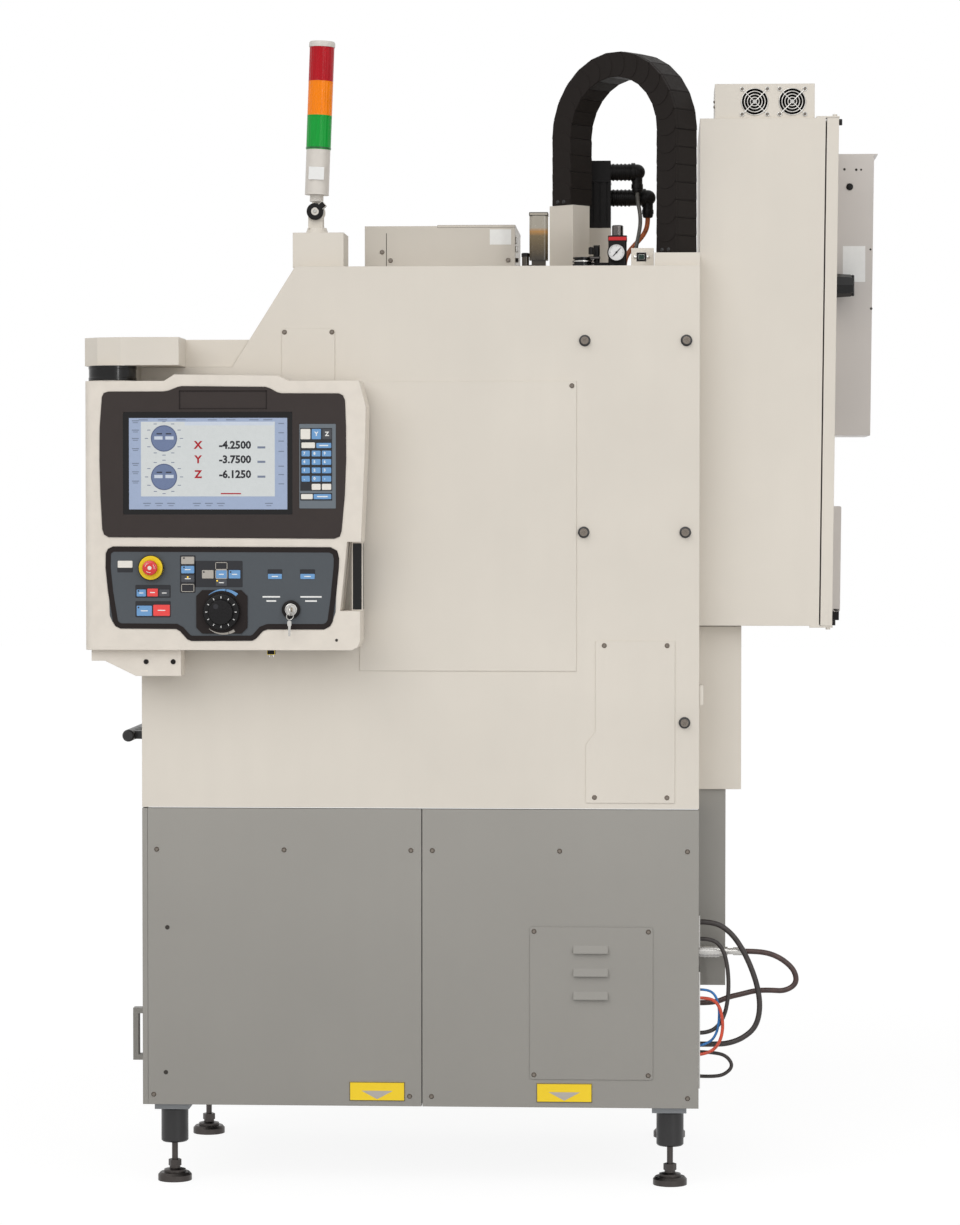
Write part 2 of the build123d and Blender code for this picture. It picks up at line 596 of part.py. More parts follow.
def jog_dial():
    """The jog dial on its shaft, with a raised cap and a crank dimple."""
    face = console_front - 2 - 2.5
    profile = Polyline((0, 0), (dial_r, 0), (dial_r, 14), (dial_r - 3, 17), (dial_cap_r + 2, 17),
                       (dial_cap_r, dial_height), (0, dial_height), close=True)
    knob = revolve(Plane.XZ * make_face(profile), Axis.Z)
    shape = Pos(dial_x, face, dial_z) * Rot(90, 0, 0) * knob
    shape -= rod(dial_x - 8, face - dial_height - 1, dial_z + 12, 6, 4, "y")
    return shape + rod(dial_x, face - 1, dial_z, 8, 35, "y")


def emergency_stop():
    """The mushroom button and its stem, with room to be pressed."""
    face = console_front - 13 - stop_travel - 0.5
    head = rod(stop_x, face - 12, stop_z, stop_r, 12, "y")
    head = fillet(head.edges().filter_by(GeomType.CIRCLE).group_by(Axis.Y)[0], 4)
    return head + rod(stop_x, face - 1, stop_z, 8, 38, "y")


def key_switch():
    """The lock barrel with its key and ring."""
    face = console_front - 7 - 0.5
    shape = rod(key_x, face - 3, key_z, 11, 3, "y") + rod(key_x, face - 1, key_z, 8, 30, "y")
    shape += block(key_x - 2, key_x + 2, face - 26, face - 2, key_z - 8, key_z + 8)
    return shape


def console_arm():
    """The fixed arm: beam on the ledge, chamfered housing, mounting plate on the front, swivel bearing and pin."""
    front = console_front + 10
    plan = [(-726, -400), (-726, -440), (-694, -472), (-641, front), (-514, front), (-514, -376), (-700, -376)]
    shape = prism([(x, y, arm_low) for x, y in plan], (0, 0, 1), arm_high - arm_low)
    hood_gap = 0.3
    low, high = ledge_z + hood_gap, arm_high - 1
    shape += side_plate([(-631, low), (hood_x(low) - hood_gap, low), (hood_x(high) - hood_gap, high), (-631, high)], -376, -262)
    shape += block(-631, body_front - 0.2, -372, -300, arm_low - 102, arm_high - 1)
    shape += rod(swivel_x, swivel_y(), console_top + 0.4, swivel_r, arm_low - console_top - 0.4)
    shape += rod(swivel_x, swivel_y(), console_top - 70, swivel_pin_r, 80)
    return shape


# Electrical cabinet

def cabinet_face(z, offset=0.0):
    """The cabinet front leans: its x at a height, moved out by an offset."""
    share = (z - cabinet_low) / (cabinet_high - cabinet_low)
    return cabinet_low_x + share * (cabinet_high_x - cabinet_low_x) + offset


def leaning_slab(z0, z1, near, far, y0, y1):
    """A slab that follows the cabinet's leaning front."""
    return side_plate([(cabinet_face(z0, near), z0), (cabinet_face(z1, near), z1),
                       (cabinet_face(z1, far), z1), (cabinet_face(z0, far), z0)], y0, y1)


def cabinet_shell():
    """The cabinet, open at its door side, with a cable opening in the back."""
    w, low, high = cabinet_wall, cabinet_low, cabinet_high
    x0, y = body_rear + 0.2, cabinet_half_width
    shape = side_plate([(x0, low), (x0, high), (cabinet_face(high), high), (cabinet_face(low), low)], -y, y)
    shape -= side_plate([(x0 + w, low + w), (x0 + w, high - w), (cabinet_face(high, 1), high - w),
                         (cabinet_face(low, 1), low + w)], -y + w, y - w)
    shape -= block(x0 - 1, x0 + w + 1, -110, 110, low + 115, low + 615)
    for z, up in ((high, 1), (low, -1)):
        x = cabinet_face(z)
        lug = block(x - 20, x + 30, -y, -y + 26, z, z + up * hinge_plate)
        lug -= block(x + 1, x + 31, -y - 1, -y + 27, z - up, z + up * hinge_gap)
        shape += lug + hinge_pin(z, up, 5, hinge_plate - 1, hinge_plate + 4) + hinge_pin(z, up, 3, -12, hinge_plate)
    return shape


def hinge_pin(z, up, r, start, end):
    """A stretch of the door's hinge axis, which leans like the cabinet front, past its end at z."""
    lean = degrees(atan2(cabinet_high_x - cabinet_low_x, cabinet_high - cabinet_low))
    pin = Pos(0, 0, up * (start + end) / 2) * Cylinder(r, end - start)
    return Pos(hinge_x(z), hinge_y(), z) * Rot(0, lean, 0) * pin


def hinge_x(z):
    """The hinge axis stands a little outside the middle of the door, so that its edge swings clear."""
    return cabinet_face(z, cabinet_door_gap + cabinet_door_thickness / 2 + hinge_offset)


def hinge_y():
    return -cabinet_half_width + 6


def cabinet_door():
    """The door, a shallow pan, with its two hinge bores and the main switch's plate."""
    low, high, y = cabinet_low, cabinet_high, cabinet_half_width
    near, far = cabinet_door_gap, cabinet_door_gap + cabinet_door_thickness
    shape = leaning_slab(low, high, near, far, -y, y)
    shape -= leaning_slab(low + 14, high - 14, near - 1, far - 3, -y + 14, y - 14)
    for z, up in ((high, 1), (low, -1)):
        shape -= hinge_pin(z, up, 3 + fit_gap, -12.3, 5)
    shape += leaning_slab(switch_z - 56, switch_z + 56, far - 1, far + 8, -45, 45)
    shape -= rod(cabinet_face(switch_z, far - 30), 0, switch_z, shaft_r + fit_gap, 50, "x")
    return shape


def disconnect_knob():
    """The main switch's round base, grip and shaft."""
    x = cabinet_face(switch_z + 56, cabinet_door_gap + cabinet_door_thickness + 8) + 0.4
    shape = rod(x, 0, switch_z, switch_r, 14, "x")
    shape += block(x + 13, x + 45, -9, 9, switch_z - switch_r, switch_z + switch_r)
    return shape + rod(x - 30, 0, switch_z, shaft_r, 32, "x")


def door_boxes():
    """Boxes on the cabinet door: the bare metal one and the small one low down."""
    far = cabinet_door_gap + cabinet_door_thickness
    low, high = cabinet_high - 687, cabinet_high - 44
    bare = leaning_slab(low, high, far + 10, far + 98, 60, 280) + leaning_slab(low + 20, high - 23, far, far + 11, 90, 250)
    bare += leaning_slab(high - 3, high, far + 90, far + 106, 60, 280)
    unit = leaning_slab(cabinet_low + 27, cabinet_low + 263, far, far + 24, -150, -60)
    return [bare, fillet(unit.edges().filter_by(Axis.Y), 4)]


def cabinet_drives():
    """The mounting plate inside the cabinet with its drive modules and wiring duct."""
    x = body_rear + 0.2 + cabinet_wall
    low, high = cabinet_low + 35, cabinet_high - 37
    shape = block(x, x + 6, -270, 270, low, high)
    shape -= block(x - 1, x + 7, -105, 105, cabinet_low + 120, cabinet_low + 610)
    for n in range(4):
        y = -255 + n * 62
        shape += block(x + 5, x + 150, y, y + 55, high - 410, high - 90)
    shape += block(x + 5, x + 55, 120, 180, low + 110, high - 70)
    return shape


def fan_box():
    """The fan box on the cabinet, with two bores, flat wire guards and stub bearings."""
    z0, z1 = cabinet_high, fan_box_top
    y0 = -cabinet_half_width + 8
    shape = block(fan_box_left, fan_box_right, y0, y0 + fan_box_depth, z0, z1)
    shape -= block(fan_box_left + 3, fan_box_right - 3, y0 + 3, y0 + fan_box_depth - 3, z0 + 3, z1 - 3)
    shape -= block(fan_box_left + 20, fan_box_right - 20, y0 + fan_box_depth - 4, y0 + fan_box_depth + 1, z0 + 12, z1 - 12)
    for x in fan_x:
        shape -= rod(x, y0 - 1, fan_z, fan_bore_r, 5, "y")
        for r in (fan_bore_r + 1, 23.5, 17.0, 10.5):
            shape += rod(x, y0 - guard_wire, fan_z, r, guard_wire, "y") - rod(x, y0 - 4, fan_z, r - guard_wire, 5, "y")
        for turn in (45, 135):
            shape += Pos(x, y0 - guard_wire / 2, fan_z) * Rot(0, turn, 0) * Box(2 * fan_bore_r + 10, guard_wire, guard_wire)
        shape += rod(x, y0 - guard_wire, fan_z, 3, 18 + guard_wire, "y")
    return shape


def fan_rotor(x):
    """One rotor: a hub and twisted blades."""
    y0 = -cabinet_half_width + 8 + 4
    hub = rod(x, y0, fan_z, fan_hub_r, 16, "y")
    for n in range(fan_blades):
        blade = Rot(0, 360 * n / fan_blades, 0) * Pos(18.5, 0, 0) * Rot(38, 0, 0) * Box(17, 1.4, 13)
        hub += Pos(x, y0 + 8, fan_z) * blade
    return hub - rod(x, y0 - 1, fan_z, 3 + fit_gap, 20, "y")


def rear_duct():
    """The beige duct cover below the cabinet and the small black fitting on the edge."""
    x = body_rear + 0.2
    duct = block(x, x + 94, -250, 250, 871, 1232)
    duct -= block(x - 1, x + 91, -247, 247, 874, 1233)
    fitting = fillet(block(x, x + 9, -376, -340, 1064, 1108).edges().filter_by(Axis.Y), 3)
    return [duct, fitting]


def pump_box():
    """The grey box on the skirt's rear, open at the bottom."""
    x = body_rear + 0.2
    shape = block(x, x + 60, -240, 120, 434, 834.8)
    shape -= block(x - 1, x + 57, -237, 117, 433, 831)
    return shape + block(x, x + 60, -240, 120, 831.5, 870.5) - block(x - 1, x + 57, -237, 117, 836, 867)


# Roof

def motor_cover():
    """The sheet-metal cover over the spindle motor's travel, with a lid bump."""
    top = roof_z + motor_cover_height
    shape = block(-139, 199, -150, 150, roof_z, top)
    shape -= block(-136, 196, -147, 147, roof_z - 1, top - 3)
    return shape + rod(110, 0, top - 0.5, 8, 4)


def stack_base():
    """The pedestal box, its flange, and the fork that holds the stack light's knuckle."""
    x0, x1, y0, y1 = -282.0, -170.0, -340.0, -220.0
    top = roof_z + stack_box_height
    shape = block(x0, x1, y0, y1, roof_z, top)
    shape -= block(x0 + 3, x1 - 3, y0 + 3, y1 - 3, roof_z - 1, top - 3)
    shape += Pos(stack_x + 2, stack_y, top + 7) * Cone(26, 21, 14)
    for side in (-1, 1):
        y = stack_y + side * 14
        ear = block(stack_x - 16, stack_x + 16, y - 4, y + 4, top + 12, knuckle_z)
        shape += ear + rod(stack_x, y - 4, knuckle_z, 19, 8, "y")
    return shape - rod(stack_x, stack_y - 30, knuckle_z, 4, 60, "y")


def leaning(shape):
    """Tilts a piece about the stack light's knuckle, as the photographed light stands."""
    place = Pos(stack_x, stack_y, knuckle_z)
    return place * Rot(0, stack_lean, 0) * place.inverse() * shape


def stack_housing():
    """The stack light's body, neck and knuckle with its cross pin and clamping knob."""
    body = rod(stack_x, stack_y, knuckle_z + 38, stack_r - 1, 100)
    body += rod(stack_x, stack_y, knuckle_z + 23, 15, 16)
    body += block(stack_x - 9, stack_x + 9, stack_y - 9.5, stack_y + 9.5, knuckle_z, knuckle_z + 22)
    body += rod(stack_x, stack_y - 9.5, knuckle_z, 15, 19, "y")
    body += rod(stack_x, stack_y - 22, knuckle_z, 3.95, 44, "y")
    knob = rod(stack_x, stack_y - 29.5, knuckle_z, 16.5, 11, "y")
    wing = Pos(stack_x, stack_y - 24, knuckle_z) * Rot(0, -42, 0) * Pos(16, 0, 0) * Box(18, 11, 13)
    return leaning(body + knob + wing)


def stack_tiers():
    """Three coloured tiers and the cap, stacked on the body."""
    out = []
    z = knuckle_z + 138
    for height, r in ((tier_height, stack_r), (tier_height, stack_r), (tier_height, stack_r), (13.0, stack_r + 1.5)):
        out.append(leaning(rod(stack_x, stack_y, z, r, height)))
        z += height
    return out


def link(inner, outer):
    """One enclosed chain link, centred, with its own length on the inner and the outer side of the bend."""
    h = chain_height / 2
    shape = side_plate([(-inner / 2, -h), (inner / 2, -h), (outer / 2, h), (-outer / 2, h)], 0, chain_width)
    shape -= block(-outer, outer, link_wall, chain_width - link_wall, -h + link_wall, h - link_wall)
    return shape + rod(0, -link_boss_height, 0, link_boss_r, link_boss_height, "y")


def chain_links():
    """The arch in its own upright plane: up the left leg, over the half circle, down the right leg."""
    r = chain_outer_r - chain_height / 2
    centre_z = chain_apex_z - chain_outer_r
    out = []
    for side, low in ((-1, post_top), (1, tray_top)):
        count = round((centre_z - low) / chain_pitch)
        pitch = (centre_z - low) / count
        length = pitch - link_gap
        for n in range(count):
            z = low + n * pitch + length / 2
            out.append(Pos(side * r, 0, z) * Rot(0, side * 90, 0) * link(length, length))
    count = round(pi * r / chain_pitch)
    half_turn = pi / count / 2
    inner, outer = (2 * (r + side * chain_height / 2) * tan(half_turn) - link_gap for side in (-1, 1))
    for n in range(count):
        a = (2 * n + 1) * half_turn
        out.append(Pos(-r * cos(a), 0, centre_z + r * sin(a)) * Rot(0, degrees(a) - 90, 0) * link(inner, outer))
    return out


def drag_chain():
    """The enclosed drag chain, an arch of links standing on the post and on the tray."""
    turned = Pos(chain_x, chain_y, 0) * Rot(0, 0, -chain_angle)
    return [turned * piece for piece in chain_links()]


def roof_brackets():
    """Sheet-metal pieces on the roof: the chain's post, the chain's tray and the motor's mount."""
    frame = Pos(chain_x, chain_y, 0) * Rot(0, 0, -chain_angle)
    r = chain_outer_r - chain_height / 2
    h = post_width / 2
    post = block(-r - h, -r + h, 0, post_depth, roof_z, post_top)
    post -= block(-r - h + 3, -r + h - 3, 3, post_depth - 3, roof_z - 1, post_top - 3)
    post = frame * post
    tray = block(511, body_rear, -365, -150, roof_z, tray_top) - block(514, body_rear - 3, -362, -153, roof_z - 1, tray_top - 3)
    mount = block(motor_x - 50, motor_x + 40, -48, 48, roof_z, motor_low)
    mount -= block(motor_x - 47, motor_x + 37, -45, 45, roof_z - 1, motor_low - 8)
    mount -= rod(motor_x, 0, motor_low - 10, screw_r + 3, 20)
    return [post, tray, mount]


def oil_bottle():
    """The oil bottle on its clip, with the fitting beside it."""
    bottle = fillet(block(235, 276, -275, -235, roof_z + 20, roof_z + 125).edges().filter_by(Axis.Z), 10)
    base = block(240, 271, -270, -240, roof_z, roof_z + 20)
    base += rod(226, -255, roof_z, 8, 28) + block(226, 240, -260, -250, roof_z, roof_z + 10)
    return bottle + base


def air_regulator():
    """The regulator body with its band and the round flange of the line beside it."""
    body = fillet(block(410, 450, -318, -278, roof_z, roof_z + 70).edges().filter_by(Axis.Z), 6)
    body += rod(354, -292, roof_z, 20, 18) + block(354, 412, -298, -286, roof_z, roof_z + 12)
    body += rod(384, -292, roof_z + 12, 7, 38)
    return body - rod(430, -298, roof_z + 39, 6 + fit_gap, 40)


def regulator_knob():
    knob = rod(430, -298, roof_z + 70.4, 12.5, 23)
    knob = chamfer(knob.edges().filter_by(GeomType.CIRCLE).group_by(Axis.Z)[-1], 2)
    for n in range(12):
        a = 2 * pi * n / 12
        knob -= rod(430 + 13.2 * cos(a), -298 + 13.2 * sin(a), roof_z + 72, 1.4, 30)
    return knob + rod(430, -298, roof_z + 45, 6, 26)


def pressure_gauge():
    """The round gauge on the regulator's front, with a raised rim and a pointer."""
    y, z = -318, roof_z + 32
    shape = rod(428, y - 14, z, 20, 14, "y") - rod(428, y - 15, z, 18, 3, "y")
    pointer = Pos(428, y - 12.6, z) * Rot(0, -48, 0) * Box(22, 1.2, 1.6)
    return shape + pointer


def socket_box():
    """The small box with a square socket."""
    shape = block(460, 509.5, -320, -240, roof_z, roof_z + 42)
    shape -= block(475, 490, -321, -300, roof_z + 16, roof_z + 29)
    for x in (469.0, 497.0):
        shape += rod(x, -322, roof_z + 22.5, 3, 2, "y")
    return shape


def air_coupling():
    """The quick coupling, straight out of the skirt's rear, and the plate that the cable glands share."""
    x, y, z = body_rear + 0.2, -300.0, 517.0
    steel = rod(x, y, z, 13, 46, "x")
    for n in range(4):
        steel += rod(x + 12 + n * 8, y, z, 14.5, 4, "x")
    shape = steel + rod(x + 46, y, z, 10, 18, "x") + rod(x + 64, y, z, 7, 12, "x") + rod(x + 76, y, z, 9, 26, "x")
    return [shape, block(x, x + 3, -374, -262, 224, 480), block(x, x + 3, -345, -310, 530, 600)]


# Cords, each one a list of route points

hose_end = body_rear + 0.2 + 102
plate_x = body_rear + 3.2

cord_routes = {
    "air_hose": (6.0, [(hose_end, -300, 517), (740, -300, 517), (770, -300, 512), (798, -299, 498), (822, -298, 475),
                       (827, -297, 446), (801, -296, 429), (768, -296, 431), (736, -296, 430), (706, -296, 422),
                       (676, -296, 415), (646, -296, 402), (plate_x, -296, 402)]),
    "upper_cable": (6.0, [(plate_x, -322, 584), (648, -322, 584), (682, -322, 560), (706, -322, 526), (726, -322, 484),
                          (741, -322, 438), (746, -322, 392), (736, -322, 352), (708, -322, 328), (676, -322, 316),
                          (646, -322, 314), (plate_x, -322, 314)]),
    "short_cable": (4.5, [(plate_x, -340, 549), (640, -340, 549), (662, -341, 530), (672, -341, 498), (676, -341, 460),
                          (675, -341, 420), (668, -341, 382), (650, -341, 352), (626, -341, 342), (plate_x, -341, 342)]),
    "low_cable": (4.0, [(plate_x, -276, 236), (640, -276, 235), (668, -276, 239), (688, -276, 259), (673, -276, 282),
                        (645, -276, 289), (plate_x, -276, 290)]),
    "blue_tube": (2.8, [(plate_x, -355, 439), (632, -355, 439), (648, -355, 426), (655, -355, 400), (655, -355, 371),
                        (650, -355, 343), (635, -355, 322), (plate_x, -355, 316)]),
    "red_tube": (3.6, [(plate_x, -366, 422), (636, -366, 422), (654, -366, 408), (662, -366, 380), (663, -366, 350),
                       (655, -366, 322), (636, -366, 302), (plate_x, -366, 298)]),
    "motor_cable": (4.5, [(x, y, roof_z + up) for x, y, up in (
        (471, -22, 193), (471, -22, 173), (477, -28, 147), (479, -42, 119), (475, -60, 91), (469, -76, 61), (466, -82, 31),
        (466, -82, 0))]),
    "encoder_cable": (5.5, [(x, y, roof_z + up) for x, y, up in (
        (495, 16, 138), (495, 16, 117), (486, 12, 96), (470, 6, 77), (452, 2, 57), (441, -1, 33), (441, -1, 0))]),
}


def cord(name):
    """A plain tube of straight runs and tangent arcs through a route."""
    r, points = cord_routes[name]
    vectors = [Vector(*p) for p in points]
    radii = []
    for before, here, after in zip(vectors, vectors[1:], vectors[2:]):
        turn = radians((here - before).get_angle(after - here))
        shorter = min((here - before).length, (after - here).length)
        radii.append(0.45 * shorter / tan(turn / 2))
    print(name, "radii", [round(value) for value in radii])
    path = FilletPolyline(*points, radius=radii)
    section = Plane(origin=path @ 0, z_dir=path % 0) * Circle(r)
    tube = sweep(section, path=path)
    print(name, "length", round(path.length), "volume over section times length", round(tube.volume / (pi * r * r * path.length), 4))
    return tube


nodes = {
    "base_casting": bed(),
    "column_casting": column(),
    "guide_rails": rails(),
    "saddle": saddle(),
    "table": table(),
    "spindle_head": spindle_head(),
    "spindle": spindle(),
    "saddle_screw": ball_screw_saddle(),
    "table_screw": ball_screw_table(),
    "head_screw": ball_screw_head(),
    "servo_motors": servo_motors(),
    "upper_enclosure": enclosure(),
    "side_covers": side_covers(),
    "louvred_cover": louvred_cover(),
    "skirt_panels": skirt_panels(),
    "front_panel": front_panel(),
    "coolant_drawer": drawer(),
    "lift_plates": lift_plates(),
    "panel_screws": panel_screws(),
    "leg_sleeves": leg_sleeves(),
    "levelling_feet": levelling_feet(),
    "door_panel": door_panel(),
    "door_window": door_window(),
    "door_handle": door_handle(),
    "console_shell": console_shell(),
    "screen_panel": screen_panel(),
    "control_panel": control_panel(),
    "jog_dial": jog_dial(),
    "emergency_stop": emergency_stop(),
    "key_switch": key_switch(),
    "console_arm": console_arm(),
    "cabinet_shell": cabinet_shell(),
    "cabinet_door": cabinet_door(),
    "cabinet_drives": cabinet_drives(),
    "disconnect_knob": disconnect_knob(),
    "door_boxes": door_boxes(),
    "fan_box": fan_box(),
    "left_fan": fan_rotor(fan_x[0]),
    "right_fan": fan_rotor(fan_x[1]),
    "rear_duct": rear_duct(),
    "pump_box": pump_box(),
    "motor_cover": motor_cover(),
    "stack_base": stack_base(),
    "stack_housing": stack_housing(),
    "stack_tiers": stack_tiers(),
    "drag_chain": drag_chain(),
    "roof_brackets": roof_brackets(),
    "oil_bottle": oil_bottle(),
    "air_regulator": [air_regulator(), pressure_gauge()],
    "regulator_knob": regulator_knob(),
    "socket_box": socket_box(),
    "air_coupling": air_coupling(),
}
for cord_name in cord_routes:
    nodes[cord_name] = cord(cord_name)

# The origin: the middle of the footprint, from the outermost pieces that aren't cords.
kept = [piece for name, piece in nodes.items() if name not in cord_routes]
flat = [solid for piece in kept for solid in (piece if isinstance(piece, list) else [piece])]
limits = [solid.bounding_box() for solid in flat]
low_x, high_x = min(b.min.X for b in limits), max(b.max.X for b in limits)
low_y, high_y = min(b.min.Y for b in limits), max(b.max.Y for b in limits)
to_middle = Pos(-(low_x + high_x) / 2, -(low_y + high_y) / 2, 0)
print("limits", low_x, high_x, low_y, high_y)

os.makedirs("parts", exist_ok=True)
for name, piece in nodes.items():
    solids = [s for p in (piece if isinstance(piece, list) else [piece]) for s in p.solids()]
    placed = [to_middle * s for s in solids]
    export_step(placed[0] if len(placed) == 1 else Compound(children=placed), f"parts/{name}.step")
print(len(nodes), "nodes")
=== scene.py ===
"""The looks of a compact enclosed machining centre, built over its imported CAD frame."""
from math import cos, pi, radians, sin, tan

import bmesh
import bpy
from bpy.props import FloatProperty, FloatVectorProperty, IntProperty, PointerProperty
from mathutils import Matrix, Vector


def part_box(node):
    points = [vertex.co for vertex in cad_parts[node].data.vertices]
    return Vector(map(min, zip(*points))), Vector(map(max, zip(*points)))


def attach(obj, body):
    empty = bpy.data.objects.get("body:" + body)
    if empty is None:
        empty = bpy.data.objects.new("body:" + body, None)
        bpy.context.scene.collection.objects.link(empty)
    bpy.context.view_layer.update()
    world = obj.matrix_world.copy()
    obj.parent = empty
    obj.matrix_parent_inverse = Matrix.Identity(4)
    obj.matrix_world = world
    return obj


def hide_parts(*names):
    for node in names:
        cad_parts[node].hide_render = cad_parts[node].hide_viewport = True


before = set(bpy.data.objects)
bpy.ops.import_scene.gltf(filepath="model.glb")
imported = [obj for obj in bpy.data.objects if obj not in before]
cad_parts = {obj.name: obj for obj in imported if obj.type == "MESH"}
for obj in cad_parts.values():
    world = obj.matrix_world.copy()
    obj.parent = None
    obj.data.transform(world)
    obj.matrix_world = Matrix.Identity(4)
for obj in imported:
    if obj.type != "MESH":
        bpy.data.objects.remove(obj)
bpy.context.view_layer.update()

bl_info = {
    "name": "Machining centre looks",
    "version": (1, 0, 0),
    "blender": (4, 5, 0),
    "location": "3D View > Sidebar > Machine",
    "description": "Dresses the packed frame of a compact enclosed machining centre",
    "category": "Object",
}

MM = 0.001

# Places are written in the machine's own millimetres: x from front to rear, y from the right side (negative)
# to the left, z from the floor. The enclosure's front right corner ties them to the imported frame.
ENCLOSURE_FRONT, ENCLOSURE_RIGHT = -612.0, -381.0
enclosure_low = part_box("upper_enclosure")[0]
TO_FRAME = Matrix.Translation(
    (enclosure_low.x - ENCLOSURE_FRONT * MM, enclosure_low.y - ENCLOSURE_RIGHT * MM, 0)
) @ Matrix.Scale(MM, 4)

# Planes that several pieces stand on
CONSOLE_FACE = -502.0
PANEL_FACE = -501.0
COVER_FACE = -383.0
SIDE_FACE = -381.0
ROOF = 2021.0


# Colours and sizes that a user would change

def colour(name, description, red, green, blue):
    """A colour setting, given as it looks on a screen, from 0 to 255."""
    return FloatVectorProperty(
        name=name, description=description, subtype="COLOR_GAMMA", size=3, min=0.0, max=1.0,
        default=(red / 255, green / 255, blue / 255),
    )


class MachineColours(bpy.types.PropertyGroup):
    """Colours of the machine's finishes."""
    cabinet_paint: colour("Cabinet paint", "Powder coat of the enclosure and the cabinet", 218, 211, 200)
    skirt_paint: colour("Skirt paint", "Powder coat of the skirt", 154, 151, 145)
    console_shell: colour("Console shell", "Moulded housing of the console", 224, 216, 205)
    bezel: colour("Bezel", "Frame round the screen", 55, 48, 46)
    panel_film: colour("Panel film", "Film of the lower panel", 77, 82, 87)
    key_blue: colour("Blue key", "Blue keys", 112, 158, 205)
    key_red: colour("Red key", "Red keys", 236, 78, 76)
    key_pale: colour("Pale key", "Pale keys", 232, 228, 220)
    stop_yellow: colour("Stop collar", "Collar of the stop button", 238, 208, 12)
    stop_red: colour("Stop button", "Mushroom of the stop button", 214, 36, 38)
    lens_red: colour("Red lens", "Top tier of the signal light", 164, 6, 22)
    lens_amber: colour("Amber lens", "Middle tier of the signal light", 232, 124, 6)
    lens_green: colour("Green lens", "Bottom tier of the signal light", 10, 144, 50)
    chain_plastic: colour("Chain plastic", "Links of the drag chain", 36, 32, 30)
    lift_yellow: colour("Lift plate", "Plates over the lift pockets", 240, 205, 30)


class MachineSizes(bpy.types.PropertyGroup):
    """Sizes of the pieces that only the looks need."""
    key_height: FloatProperty(
        name="Key height", description="How far a key stands off its panel",
        default=1.2 * MM, min=0.2 * MM, unit="LENGTH")
    guard_wire: FloatProperty(
        name="Guard wire", description="Thickness of the fan guards' wire",
        default=2.3 * MM, min=1 * MM, unit="LENGTH")
    lens_ribs: IntProperty(name="Lens ribs", description="Upright ribs round a lens", default=24, min=6, max=60)
    edge_softness: FloatProperty(
        name="Edge softness", description="Radius that a sheet-metal edge shows",
        default=1.6 * MM, min=0.0, unit="LENGTH")


class StageSettings(bpy.types.PropertyGroup):
    """Camera and light."""
    lens: FloatProperty(name="Lens", description="Focal length", default=105.68, min=10, unit="CAMERA")
    sky: FloatProperty(name="Sky", description="Strength of the even light", default=0.455, min=0)
    key_light: FloatProperty(
        name="Key light", description="Strength of the soft light at the front left", default=0.345, min=0)
    fill_light: FloatProperty(
        name="Fill light", description="Strength of the soft light at the front right", default=0.15, min=0)
    soft_box: FloatProperty(
        name="Soft box", description="Power of the upright box at the right, in watts", default=50, min=0)


def colours():
    return bpy.context.scene.machine_colours


def sizes():
    return bpy.context.scene.machine_sizes


def linear(values):
    """A colour as it looks on a screen, turned into the amounts of light that a shader takes."""
    return [v / 12.92 if v <= 0.04045 else ((v + 0.055) / 1.055) ** 2.4 for v in values]


def from_screen(red, green, blue):
    return linear([red / 255, green / 255, blue / 255])


# Finishes

class Tree:
    """The node tree of a material or a world, built up step by step."""

    def __init__(self, owner):
        owner.use_nodes = True
        self.tree = owner.node_tree

    def node(self, kind, links=(), **values):
        made = self.tree.nodes.new(kind)
        for key, value in values.items():
            if key in made.inputs:
                made.inputs[key].default_value = value
            else:
                setattr(made, key, value)
        for socket, source in links:
            self.tree.links.new(source, made.inputs[socket])
        return made

    def show(self, output, lit, seen):
        """One shader for the light that spreads, and another for camera, glossy and transmission rays."""
        rays = self.node("ShaderNodeLightPath").outputs
        sight = rays["Is Camera Ray"]
        for other in ("Is Glossy Ray", "Is Transmission Ray"):
            sight = self.node("ShaderNodeMath", [(0, sight), (1, rays[other])], operation="MAXIMUM").outputs[0]
        pick = self.node("ShaderNodeMixShader", [(0, sight), (1, lit), (2, seen)])
        self.node(output, [(0, pick.outputs[0])])


